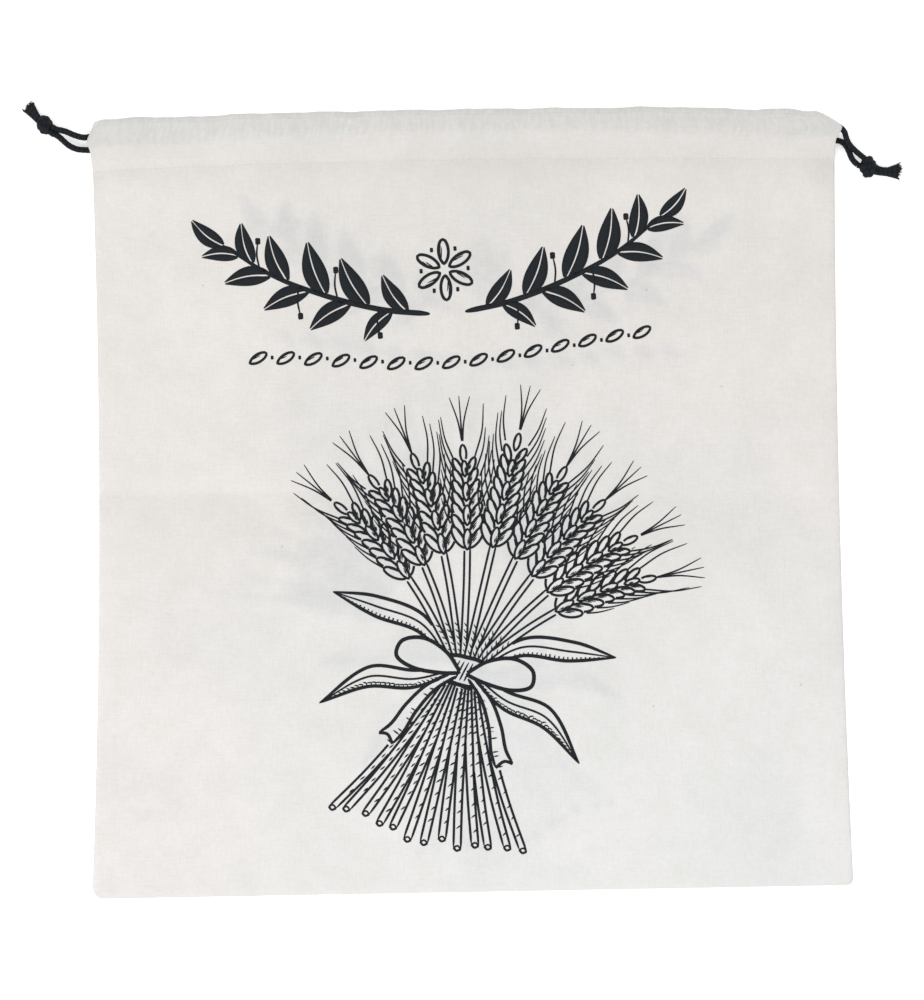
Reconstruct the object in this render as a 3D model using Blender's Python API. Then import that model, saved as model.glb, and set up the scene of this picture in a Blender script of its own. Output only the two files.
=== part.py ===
"""An empty drawstring bread bag, lying flat.

Two panels of cotton are sewn together at the sides and the bottom. Each panel's top edge is folded to the
inside as a hem, which makes a channel. Two black drawcords run through both channels, one knotted at the
left and one at the right. +X runs across the bag, +Y from its bottom to its mouth, and +Z up from the
surface that it lies on. Sizes are in millimetres, and the finished shapes in metres.
"""

import math

import bmesh
import bpy
from mathutils import Vector

MM = 0.001

# The bag's outline. A side is straight but for its bow, and swells a little at the mouth.
TOP_Y = 197.0
TOP_CROWN = 3.0
BOTTOM_Y = -199.4
BOTTOM_TILT = 0.6
LENGTH = TOP_Y - BOTTOM_Y
LEFT_SIDE = {"top": 189.0, "bottom": 193.6, "bow": 3.8, "mouth_swell": 2.0, "corner": 6.0}
RIGHT_SIDE = {"top": 190.3, "bottom": 193.6, "bow": 2.9, "mouth_swell": 3.4, "corner": 3.5}
MOUTH_Y = 186.0
MOUTH_REACH = 7.0
LEFT_DROOP = {"drop": 5.0, "start": 0.955, "power": 4.0}
RIGHT_DROOP = {"drop": 8.6, "start": 0.945, "power": 1.6}

# The cloth and the cords.
CLOTH = 1.0
GAP = 0.3
CORD = 2.5
LAYER = CLOTH + GAP
CORD_STEP = CORD + GAP
ROOM_OVER_CORDS = 0.5

# Heights of the middle of each layer. The hems step up over the back cords, so the front cords lie lower.
BACK_Z = CLOTH / 2
BACK_HEM_Z = BACK_Z + LAYER
FRONT_HEM_Z = BACK_HEM_Z + LAYER
FRONT_TOP_Z = FRONT_HEM_Z + CORD_STEP + LAYER + ROOM_OVER_CORDS
FRONT_SEAM_Z = FRONT_HEM_Z + LAYER
FRONT_BODY_Z = BACK_Z + LAYER

# Depths below the top edge. The front cords lie above the step, and the back cords below it.
FRONT_FOLD_DEPTH = 2.4
BACK_FOLD_DEPTH = LAYER / 2
STEP_FROM, STEP_TO = 9.4, 14.9
FALL_FROM, FALL_TO = 20.2, 26.2
HEM_END = 26.8
SEAM_END = 28.2
BODY_FROM = 40.0
DROOP_DEPTH = 3.0

# The hem stops short of the side openings, where the cords turn. Across, -1 is the left side and 1 the right.
HEM_REACH = 0.922
ROUNDING = 0.001

# The mesh's steps.
FRONT_COLUMNS = 20
BACK_COLUMNS = 12
END_COLUMNS = (0.936, 0.950, 0.964, 0.977, 0.989, 1.0)
FRONT_BODY_ROWS = 26
BACK_BODY_ROWS = 7
CORNER_ROWS = (0.0, 0.6, 1.8, 3.6, 7.0)
CASING_ROWS = (36.0, 32.0, SEAM_END, HEM_END, 24.7, 23.2, 21.7, FALL_FROM, 14.0, 7.0)
HEM_ROWS = (STEP_FROM, 10.8, 12.2, 13.5, STEP_TO, FALL_FROM, 21.7, 23.2, 24.7, HEM_END)
FRONT_FOLD_STEPS = 6
BACK_FOLD_STEPS = 4

# Soft ridges pressed into the front panel, from one end to the other.
RIDGES = (
    {"x1": -185, "y1": 4, "x2": 60, "y2": 2, "width": 11, "height": 1.3},
    {"x1": 60, "y1": 2, "x2": 170, "y2": 0, "width": 11, "height": 0.6},
    {"x1": 136, "y1": 160, "x2": 139, "y2": -175, "width": 15, "height": 0.9},
    {"x1": -15, "y1": -105, "x2": -1, "y2": -190, "width": 11, "height": 0.8},
    {"x1": -130, "y1": 120, "x2": 70, "y2": 90, "width": 32, "height": 0.7},
    {"x1": -90, "y1": -70, "x2": 90, "y2": -110, "width": 36, "height": 0.9},
    {"x1": -95, "y1": 155, "x2": -110, "y2": 40, "width": 22, "height": 0.7},
)
FLAT_RIM = 16.0

# The drawcords' routes, as x, y and height. Each runs from its knot through the front channel, turns at the
# far opening, and comes back through the back channel.
CORD_ROUTES = {
    "left": (
        (-206.1, 192.3, 4.3), (-201.6, 191.4, 4.6), (-197.0, 189.4, 5.0), (-192.5, 188.2, 5.2),
        (-188.7, 189.1, 5.2), (-185.3, 190.8, 5.15), (-181.0, 191.7, 5.15), (-170.0, 191.85, 5.15),
        (-130.0, 192.83, 5.15), (-75.0, 193.74, 5.15), (-20.0, 194.17, 5.15), (35.0, 194.1, 5.15),
        (90.0, 193.54, 5.15), (140.0, 192.6, 5.15), (170.0, 191.95, 5.15), (180.2, 191.95, 4.95),
        (184.0, 191.85, 4.35), (186.6, 191.16, 3.55), (188.46, 189.27, 2.85), (189.15, 186.7, 2.6),
        (188.46, 184.13, 2.55), (186.6, 182.24, 2.55), (184.0, 181.55, 2.55), (172.0, 181.9, 2.55),
        (140.0, 182.71, 2.55), (90.0, 183.64, 2.55), (35.0, 184.2, 2.55), (-20.0, 184.27, 2.55),
        (-75.0, 183.84, 2.55), (-130.0, 182.93, 2.55), (-170.0, 181.95, 2.55), (-181.0, 181.65, 2.55),
        (-186.0, 181.55, 2.55), (-191.4, 181.8, 2.6), (-195.6, 182.6, 2.8), (-199.0, 184.3, 3.2),
        (-202.4, 186.6, 3.6), (-205.0, 188.5, 3.9), (-207.7, 189.85, 4.1),
    ),
    "right": (
        (203.8, 173.2, 4.3), (200.9, 176.0, 4.5), (198.0, 179.0, 4.8), (196.2, 182.0, 5.2),
        (194.9, 184.9, 5.5), (192.4, 187.4, 5.6), (189.0, 188.5, 5.65), (185.0, 188.8, 5.55),
        (178.0, 188.82, 5.2), (165.0, 189.18, 5.15), (130.0, 190.03, 5.15), (75.0, 190.94, 5.15),
        (20.0, 191.37, 5.15), (-35.0, 191.3, 5.15), (-90.0, 190.74, 5.15), (-140.0, 189.81, 5.15),
        (-170.0, 189.05, 5.15), (-178.0, 188.8, 5.2), (-181.3, 188.72, 5.35), (-183.88, 188.03, 5.5),
        (-185.77, 186.14, 5.6), (-186.46, 183.56, 5.65), (-185.77, 180.98, 5.45), (-183.88, 179.09, 4.8),
        (-181.3, 178.4, 3.75), (-178.0, 178.5, 2.85), (-173.0, 178.85, 2.55), (-130.0, 180.13, 2.55),
        (-75.0, 181.04, 2.55), (-20.0, 181.47, 2.55), (35.0, 181.4, 2.55), (90.0, 180.84, 2.55),
        (140.0, 179.91, 2.55), (172.0, 179.09, 2.55), (184.0, 178.75, 2.55), (188.3, 179.2, 2.55),
        (191.5, 179.5, 2.6), (194.4, 178.9, 2.65), (196.6, 177.2, 2.7), (198.2, 174.6, 2.9),
        (199.0, 172.4, 3.15), (200.1, 170.5, 3.5), (201.8, 168.8, 3.86),
    ),
}
ROUTE_STEPS = 2
CORD_FACETS = 2
SHARP_ANGLE = 45.0

# A knot is wound round the two strands, which go on as two short tails that swell a little at their cut ends.
KNOTS = {
    "left": {
        "centre": (-212.0, 194.7, 4.1), "heading": 144.0, "lean": 24.0,
        "strands": (
            ((-206.4, 192.5, 4.3), (-209.2, 194.2, 4.5), (-212.3, 196.4, 4.6), (-215.0, 198.4, 3.8),
             (-217.0, 202.3, 2.4), (-218.5, 206.4, 1.75)),
            ((-208.0, 190.05, 4.1), (-210.4, 191.9, 4.0), (-213.0, 194.3, 3.9), (-215.8, 196.9, 3.2),
             (-219.2, 199.8, 2.1), (-222.7, 202.2, 1.75)),
        ),
    },
    "right": {
        "centre": (207.4, 168.5, 4.1), "heading": -32.0, "lean": -24.0,
        "strands": (
            ((204.1, 172.9, 4.3), (206.0, 170.9, 4.6), (209.0, 168.2, 4.4), (212.4, 166.5, 3.2),
             (217.6, 166.3, 2.1), (223.2, 166.6, 1.8)),
            ((202.4, 168.35, 3.9), (205.0, 167.4, 4.0), (208.0, 165.7, 3.9), (211.6, 163.9, 3.0),
             (216.8, 162.9, 2.0), (222.2, 162.6, 1.8)),
        ),
    },
}
WRAP_WIDTH = 3.2
WRAP_HEIGHT = 2.7
WRAP_SPACING = 1.25
WRAP_SIDES = 10
WRAP_STEPS = 24
TAIL_SWELL = 1.32
KNOT_STEPS = 4
KNOT_GRAIN = 0.42
KNOT_FACES_KEPT = 0.17


def smooth(t):
    t = min(max(t, 0.0), 1.0)
    return t * t * (3 - 2 * t)


def mix(a, b, t):
    return a + (b - a) * t


# The outline. Across runs from -1 at the left side to 1 at the right side.
def crown(across):
    return TOP_Y + TOP_CROWN * (1 - across * across)


def top_edge(across):
    droop = LEFT_DROOP if across < 0 else RIGHT_DROOP
    start = droop["start"]
    t = max((abs(across) - start) / (1 - start), 0.0)
    return crown(across) - droop["drop"] * t ** droop["power"]


def bottom_edge(across):
    return BOTTOM_Y + BOTTOM_TILT * across


def half_width(side, y, above_bottom):
    """How far a side lies from the middle, with its bow, its swell at the mouth and its round corner."""
    t = (TOP_Y - y) / LENGTH
    straight = mix(side["top"], side["bottom"], t) - side["bow"] * 4 * t * (1 - t)
    swell = side["mouth_swell"] * math.exp(-(((y - MOUTH_Y) / MOUTH_REACH) ** 2))
    radius = side["corner"]
    below_arc = max(radius - above_bottom, 0.0)
    inset = radius - math.sqrt(radius * radius - below_arc * below_arc)
    return straight + swell - inset


def place_x(across, y):
    above_bottom = max(y - bottom_edge(across), 0.0)
    left = -half_width(LEFT_SIDE, y, above_bottom)
    right = half_width(RIGHT_SIDE, y, above_bottom)
    return mix(left, right, (across + 1) / 2)


def place_y(across, depth):
    """The place along the bag of a point this far down the cloth from the top edge."""
    top = top_edge(across)
    seam = crown(across) - FALL_TO
    if depth <= DROOP_DEPTH:
        return top - depth
    if depth <= FALL_TO:
        return mix(top - DROOP_DEPTH, seam, (depth - DROOP_DEPTH) / (FALL_TO - DROOP_DEPTH))
    return mix(seam, bottom_edge(across), (depth - FALL_TO) / (LENGTH - FALL_TO))


# The heights of the layers.
def ridge_height(ridge, x, y):
    start = Vector((ridge["x1"], ridge["y1"]))
    run = Vector((ridge["x2"], ridge["y2"])) - start
    point = Vector((x, y)) - start
    t = min(max(point.dot(run) / run.length_squared, 0.0), 1.0)
    away = (point - run * t).length / ridge["width"]
    return ridge["height"] * math.exp(-away * away)


def relief(x, y):
    """The front panel's soft unevenness, which dies out at the sewn sides and the bottom."""
    left = x + half_width(LEFT_SIDE, y, LENGTH)
    right = half_width(RIGHT_SIDE, y, LENGTH) - x
    rim = min(left, right, y - BOTTOM_Y)
    return sum(ridge_height(ridge, x, y) for ridge in RIDGES) * smooth(rim / FLAT_RIM)


def front_height(across, depth):
    x = place_x(across, place_y(across, depth))
    body = FRONT_BODY_Z + relief(x, place_y(across, depth))
    at_side = smooth((abs(across) - HEM_REACH) / (1 - HEM_REACH))
    seam = mix(FRONT_SEAM_Z, FRONT_BODY_Z, at_side)
    if depth < FALL_TO:
        return mix(FRONT_TOP_Z, seam, smooth((depth - FALL_FROM) / (FALL_TO - FALL_FROM)))
    return mix(seam, body, smooth((depth - SEAM_END) / (BODY_FROM - SEAM_END)))


def back_height(across, depth):
    return BACK_Z


def hem_rise(depth):
    rise = smooth((depth - STEP_FROM) / (STEP_TO - STEP_FROM))
    fall = smooth((depth - FALL_FROM) / (FALL_TO - FALL_FROM))
    return CORD_STEP * (rise - fall)


PANELS = {
    "front_panel": {
        "outside": 1, "height": front_height, "fold_depth": FRONT_FOLD_DEPTH, "fold_top": FRONT_TOP_Z,
        "hem": FRONT_HEM_Z, "columns": FRONT_COLUMNS, "body_rows": FRONT_BODY_ROWS,
        "fold_steps": FRONT_FOLD_STEPS,
    },
    "back_panel": {
        "outside": -1, "height": back_height, "fold_depth": BACK_FOLD_DEPTH, "fold_top": BACK_Z,
        "hem": BACK_HEM_Z, "columns": BACK_COLUMNS, "body_rows": BACK_BODY_ROWS,
        "fold_steps": BACK_FOLD_STEPS,
    },
}


def panel_rows(panel):
    """The strip's rows, from the bottom edge up the panel, over the fold and down the hem."""
    rows = [("sheet", LENGTH - above) for above in CORNER_ROWS]
    first = LENGTH - CORNER_ROWS[-1]
    steps = panel["body_rows"]
    rows += [("sheet", mix(first, BODY_FROM, (i + 1) / steps)) for i in range(steps)]
    rows += [("sheet", depth) for depth in CASING_ROWS]
    rows += [("fold", math.pi * i / panel["fold_steps"]) for i in range(panel["fold_steps"] + 1)]
    rows += [("hem", depth) for depth in HEM_ROWS]
    return rows


def panel_columns(panel):
    steps = panel["columns"]
    middle = [HEM_REACH * (2 * i / steps - 1) for i in range(steps + 1)]
    return [-c for c in reversed(END_COLUMNS)] + middle + list(END_COLUMNS)


def place_point(panel, across, row, side):
    """A point of the strip. Side is 1 on the cloth's outside and -1 on its inside."""
    kind, value = row
    half = side * CLOTH / 2
    outside = panel["outside"]
    if kind == "fold":
        reach = panel["fold_depth"]
        tall = abs(panel["fold_top"] - panel["hem"]) / 2
        out = Vector((math.sin(value) / reach, outside * math.cos(value) / tall)).normalized()
        y = place_y(across, reach + CLOTH / 2) + reach * math.sin(value) + half * out.x
        z = (panel["fold_top"] + panel["hem"]) / 2 + outside * tall * math.cos(value) + half * out.y
        opened = smooth((abs(across) - HEM_REACH) / (1 - HEM_REACH))
        y = mix(y, mix(place_y(across, reach + CLOTH / 2), top_edge(across), math.sin(value)), opened)
        z = mix(z, panel["fold_top"] + outside * half, opened)
    elif kind == "hem":
        y = place_y(across, value)
        z = panel["hem"] + hem_rise(value) - outside * half
    else:
        y = place_y(across, value)
        z = panel["height"](across, value) + outside * half
    return Vector((place_x(across, y), y, z))


def make_object(name, mesh, material):
    thing = bpy.data.objects.new(name, mesh)
    thing.data.materials.append(material)
    bpy.context.collection.objects.link(thing)
    return thing


def make_material(name, hex_colour, roughness):
    """A plain material, its colour turned from sRGB to linear."""
    material = bpy.data.materials.new(name)
    material.use_nodes = True
    shader = material.node_tree.nodes["Principled BSDF"]
    channels = [int(hex_colour[i:i + 2], 16) / 255 for i in (0, 2, 4)]
    linear = [c / 12.92 if c <= 0.04045 else ((c + 0.055) / 1.055) ** 2.4 for c in channels]
    shader.inputs["Base Color"].default_value = (*linear, 1.0)
    shader.inputs["Roughness"].default_value = roughness
    shader.inputs["Metallic"].default_value = 0.0
    return material


def sew_hem(bm, rows, columns):
    """Join the hem's end to the panel's inner face, so that the hem and its panel are one cloth."""
    row_of = bm.verts.layers.int["row"]
    column_of = bm.verts.layers.int["column"]
    side_of = bm.verts.layers.int["side"]
    seam_row = rows.index(("sheet", SEAM_END))
    last_row = len(rows) - 1
    in_hem = [i for i, across in enumerate(columns) if abs(across) <= HEM_REACH + ROUNDING]
    opened = []
    for face in bm.faces:
        face_rows = {vert[row_of] for vert in face.verts}
        inside = all(vert[side_of] == -1 for vert in face.verts)
        under_hem = all(vert[column_of] in in_hem for vert in face.verts)
        if face_rows == {last_row} or (inside and under_hem and face_rows == {seam_row, seam_row + 1}):
            opened.append(face)
    bmesh.ops.delete(bm, geom=opened, context="FACES_ONLY")
    vert_at = {(vert[row_of], vert[column_of], vert[side_of]): vert for vert in bm.verts}
    rings = [
        [vert_at[last_row, column, -1], vert_at[last_row, column, 1],
         vert_at[seam_row, column, -1], vert_at[seam_row + 1, column, -1]]
        for column in in_hem
    ]
    for ring, following in zip(rings, rings[1:]):
        for a, b in ((1, 2), (3, 0)):
            bm.faces.new((ring[a], ring[b], following[b], following[a]))
    bm.faces.new(rings[0])
    bm.faces.new(rings[-1])


def make_panel(name, material):
    """One panel with its hem: a grid of cloth, given its thickness, then sewn down at the hem's end."""
    panel = PANELS[name]
    rows = panel_rows(panel)
    columns = panel_columns(panel)
    bm = bmesh.new()
    row_of = bm.verts.layers.int.new("row")
    column_of = bm.verts.layers.int.new("column")
    side_of = bm.verts.layers.int.new("side")
    bmesh.ops.create_grid(bm, x_segments=len(columns) - 1, y_segments=len(rows) - 1, size=0.5)
    for vert in bm.verts:
        vert[column_of] = round((vert.co.x + 0.5) * (len(columns) - 1))
        vert[row_of] = round((vert.co.y + 0.5) * (len(rows) - 1))
        vert[side_of] = -1

    crest = rows.index(("fold", math.pi / 2))
    past_hem = [
        vert for vert in bm.verts
        if vert[row_of] > crest and abs(columns[vert[column_of]]) > HEM_REACH + ROUNDING
    ]
    bmesh.ops.delete(bm, geom=past_hem, context="VERTS")
    shell = bmesh.ops.extrude_face_region(bm, geom=bm.faces[:], use_keep_orig=True)
    for item in shell["geom"]:
        if isinstance(item, bmesh.types.BMVert):
            item[side_of] = 1
    for vert in bm.verts:
        across = columns[vert[column_of]]
        vert.co = place_point(panel, across, rows[vert[row_of]], vert[side_of]) * MM

    sew_hem(bm, rows, columns)
    bmesh.ops.recalc_face_normals(bm, faces=bm.faces[:])
    mesh = bpy.data.meshes.new(name)
    bm.to_mesh(mesh)
    bm.free()
    mesh.shade_smooth()
    mesh.set_sharp_from_angle(angle=math.radians(SHARP_ANGLE))
    return make_object(name, mesh, material)


def smooth_route(points, steps):
    """Points on a smooth curve through the route's own points, this many to each span."""
    route = [Vector(p) for p in points]
    route = [route[0] * 2 - route[1]] + route + [route[-1] * 2 - route[-2]]
    curve = []
    for before, start, end, after in zip(route, route[1:], route[2:], route[3:]):
        span = (end - start).length
        leave = (end - before) * span / ((end - start).length + (start - before).length)
        arrive = (after - start) * span / ((after - end).length + (end - start).length)
        for i in range(steps):
            t = i / steps
            curve.append(
                start * (2 * t ** 3 - 3 * t ** 2 + 1) + leave * (t ** 3 - 2 * t ** 2 + t)
                + end * (3 * t ** 2 - 2 * t ** 3) + arrive * (t ** 3 - t ** 2)
            )
    return curve + [route[-2]]


def make_tube(name, points, material, swell=1.0):
    """A round cord along the points. It swells to the given factor over its last third."""
    data = bpy.data.curves.new(name, "CURVE")
    data.dimensions = "3D"
    data.bevel_depth = CORD / 2 * MM
    data.bevel_resolution = CORD_FACETS
    data.use_fill_caps = True
    spline = data.splines.new("POLY")
    spline.points.add(len(points) - 1)
    for i, point in enumerate(points):
        spline.points[i].co = (*(Vector(point) * MM), 1.0)
        spline.points[i].radius = mix(1.0, swell, smooth(3 * i / (len(points) - 1) - 2))
    return make_object(name, data, material)


def add_wrap(bm, knot, offset):
    """One turn of cord wound round the strands, leaning across the knot."""
    heading = math.radians(knot["heading"])
    lean = math.radians(knot["lean"])
    along = Vector((math.cos(heading), math.sin(heading), 0.0))
    tilted = Vector((-math.sin(heading + lean), math.cos(heading + lean), 0.0))
    axis = Vector((math.cos(heading + lean), math.sin(heading + lean), 0.0))
    centre = Vector(knot["centre"]) + along * offset
    rim = bmesh.ops.create_circle(bm, segments=WRAP_SIDES, radius=CORD / 2)["verts"]
    for vert in rim:
        place = centre + tilted * (WRAP_WIDTH + vert.co.x) + axis * vert.co.y
        vert.co = place * MM
    edges = list({edge for vert in rim for edge in vert.link_edges})
    bmesh.ops.spin(
        bm, geom=rim + edges, cent=centre * MM, axis=axis, dvec=(0, 0, 0),
        angle=math.tau, steps=WRAP_STEPS, use_merge=True,
    )


def make_knot(name, knot, material):
    bm = bmesh.new()
    for offset in (-WRAP_SPACING, WRAP_SPACING):
        add_wrap(bm, knot, offset)
    centre_z = knot["centre"][2] * MM
    for vert in bm.verts:
        vert.co.z = centre_z + (vert.co.z - centre_z) * (WRAP_HEIGHT + CORD / 2) / (WRAP_WIDTH + CORD / 2)
    mesh = bpy.data.meshes.new(name)
    for strand in knot["strands"]:
        tube = make_tube("strand", smooth_route(strand, KNOT_STEPS), material, TAIL_SWELL)
        tube_mesh = bpy.data.meshes.new_from_object(tube)
        bm.from_mesh(tube_mesh)
        bpy.data.objects.remove(tube)
        bpy.data.meshes.remove(tube_mesh)
    bmesh.ops.recalc_face_normals(bm, faces=bm.faces[:])
    bm.to_mesh(mesh)
    bm.free()
    thing = make_object(name, mesh, material)
    fuse = thing.modifiers.new("fuse", "REMESH")
    fuse.mode = "VOXEL"
    fuse.voxel_size = KNOT_GRAIN * MM
    fuse.use_smooth_shade = True
    thin = thing.modifiers.new("thin", "DECIMATE")
    thin.ratio = KNOT_FACES_KEPT
    return thing


def main():
    for thing in list(bpy.data.objects):
        bpy.data.objects.remove(thing)
    cotton = make_material("unbleached_cotton", "E9E7E4", 0.9)
    cord = make_material("black_cotton_cord", "1E2328", 0.75)
    for name in PANELS:
        make_panel(name, cotton)
    for side, route in CORD_ROUTES.items():
        make_tube("drawcord_" + side, smooth_route(route, ROUTE_STEPS), cord)
    for side, knot in KNOTS.items():
        make_knot("knot_" + side, knot, cord)


main()
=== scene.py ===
# %% [markdown]
# # A cotton bread bag with two black drawcords
# The bag is two panels of plain-weave cotton, sewn at the sides and the bottom, with a channel at the mouth.
# It lies empty and flat, seen from straight above. The fixed model gives where each panel, cord and knot is.
# This lesson dresses it: thin creased cloth, stitching, a printed drawing, braided cords and their knots.

# %% Load the fixed model
import math
import random

import bmesh
import bpy
import numpy as np
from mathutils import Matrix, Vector
from mathutils.bvhtree import BVHTree


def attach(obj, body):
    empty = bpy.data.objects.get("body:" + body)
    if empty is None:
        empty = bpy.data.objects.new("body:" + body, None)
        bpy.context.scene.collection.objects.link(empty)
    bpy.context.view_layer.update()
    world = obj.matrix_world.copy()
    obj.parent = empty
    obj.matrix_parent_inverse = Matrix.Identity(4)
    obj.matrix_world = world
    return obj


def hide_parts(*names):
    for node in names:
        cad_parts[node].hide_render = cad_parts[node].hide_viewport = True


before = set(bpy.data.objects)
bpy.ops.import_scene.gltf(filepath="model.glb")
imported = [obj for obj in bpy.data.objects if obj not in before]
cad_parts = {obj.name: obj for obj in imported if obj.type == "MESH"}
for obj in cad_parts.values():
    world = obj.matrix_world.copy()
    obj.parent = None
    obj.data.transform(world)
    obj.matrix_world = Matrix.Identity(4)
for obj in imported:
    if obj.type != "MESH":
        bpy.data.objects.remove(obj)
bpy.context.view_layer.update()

MM = 0.001

# %% [markdown]
# ## The camera
# The photograph was taken from straight above with the bag turned by less than a degree. A long lens from
# over two metres keeps its sides true. The scale is 0.51 mm of cloth to a pixel of the photograph, which
# makes the bag 38 cm wide.

# %% Place the camera above the bag
PHOTO_HEIGHT = 1000
MM_PER_PIXEL = 0.51
FRAME_MIDDLE_MM = (-2.5, 0.5)
PHOTO_TURN = math.radians(0.87)
CAMERA_HEIGHT = 2.4
SENSOR = 36.0

camera = bpy.data.objects.new("camera", bpy.data.cameras.new("camera"))
camera.location = (FRAME_MIDDLE_MM[0] * MM, FRAME_MIDDLE_MM[1] * MM, CAMERA_HEIGHT)
camera.rotation_euler = (0.0, 0.0, -PHOTO_TURN)
camera.data.sensor_width = SENSOR
camera.data.lens = SENSOR * CAMERA_HEIGHT / (PHOTO_HEIGHT * MM_PER_PIXEL * MM)
bpy.context.collection.objects.link(camera)
bpy.context.scene.camera = camera
print("lens, mm:", round(camera.data.lens))

# %% [markdown]
# ## Soft studio light and a pale floor
# Product photographs of cloth use large soft lamps, so that the weave and creases show as faint tones. The
# lower left of the bag is the brightest, so the larger lamp stands on that side. The floor is a light table,
# a sheet of white acrylic lit a little from below, which takes the shadows out from round the bag.

# %% Light the floor
FLOOR_SIZE = 6.0
LAMPS = (
    {"name": "lamp_near", "at": (-1.3, -1.3, 1.7), "size": 1.8, "watts": 25.0},
    {"name": "lamp_far", "at": (1.4, 0.9, 2.1), "size": 1.8, "watts": 10.0},
)
SKY_STRENGTH = 0.76
TABLE_GLOW = 0.42


def linear(hex_colour):
    """An sRGB hex colour as linear red, green, blue and alpha."""
    channels = [int(hex_colour[i:i + 2], 16) / 255 for i in (0, 2, 4)]
    return (*[c / 12.92 if c <= 0.04045 else ((c + 0.055) / 1.055) ** 2.4 for c in channels], 1.0)


for lamp in LAMPS:
    light = bpy.data.lights.new(lamp["name"], "AREA")
    light.shape = "DISK"
    light.size = lamp["size"]
    light.energy = lamp["watts"]
    holder = bpy.data.objects.new(lamp["name"], light)
    holder.location = lamp["at"]
    holder.rotation_euler = (-Vector(lamp["at"])).to_track_quat("-Z", "Y").to_euler()
    bpy.context.collection.objects.link(holder)

world = bpy.data.worlds.new("studio")
world.use_nodes = True
world.node_tree.nodes["Background"].inputs["Color"].default_value = linear("FFFFFF")
world.node_tree.nodes["Background"].inputs["Strength"].default_value = SKY_STRENGTH
bpy.context.scene.world = world
bpy.context.scene.view_settings.view_transform = "Standard"

# %% [markdown]
# ## Nodes and pieces
# Every material here is a Principled shader with a few nodes before it. One function adds a node, sets its
# settings, and sets or links its inputs. Others start a material and turn a bmesh into a finished object.

# %% Small helpers, and the floor
def add_node(material, kind, settings=None, **inputs):
    """Add a node. An input is a value or another node's output, and its name has _ for a space."""
    node = material.node_tree.nodes.new(kind)
    for name, value in (settings or {}).items():
        setattr(node, name, value)
    for name, value in inputs.items():
        socket = node.inputs[int(name[1:])] if name[1:].isdigit() else node.inputs[name.replace("_", " ")]
        if isinstance(value, bpy.types.NodeSocket):
            material.node_tree.links.new(value, socket)
        else:
            socket.default_value = value
    return node


def new_material(name, roughness, sheen=0.0, specular=0.5):
    material = bpy.data.materials.new(name)
    material.use_nodes = True
    shader = material.node_tree.nodes["Principled BSDF"]
    shader.inputs["Roughness"].default_value = roughness
    shader.inputs["Sheen Weight"].default_value = sheen
    shader.inputs["Specular IOR Level"].default_value = specular
    return material, shader


def new_piece(name, bm, material):
    """Turn a bmesh into an object whose place is in its mesh."""
    mesh = bpy.data.meshes.new(name)
    bm.to_mesh(mesh)
    bm.free()
    mesh.materials.append(material)
    piece = bpy.data.objects.new(name, mesh)
    bpy.context.collection.objects.link(piece)
    return piece


def finish_piece(name, bm, material):
    """Make a piece of the bag, which is shaded smooth and rides on the bag's one body."""
    piece = new_piece(name, bm, material)
    piece.data.shade_smooth()
    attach(piece, "root")
    return piece


floor_paint, floor_shader = new_material("white_acrylic_light_table", 0.9)
floor_shader.inputs["Base Color"].default_value = linear("FBFBFB")
floor_shader.inputs["Emission Color"].default_value = linear("FFFFFF")
floor_shader.inputs["Emission Strength"].default_value = TABLE_GLOW
floor_bm = bmesh.new()
bmesh.ops.create_grid(floor_bm, x_segments=1, y_segments=1, size=FLOOR_SIZE / 2)
floor = new_piece("floor", floor_bm, floor_paint)
print("floor, m:", FLOOR_SIZE)
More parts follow.
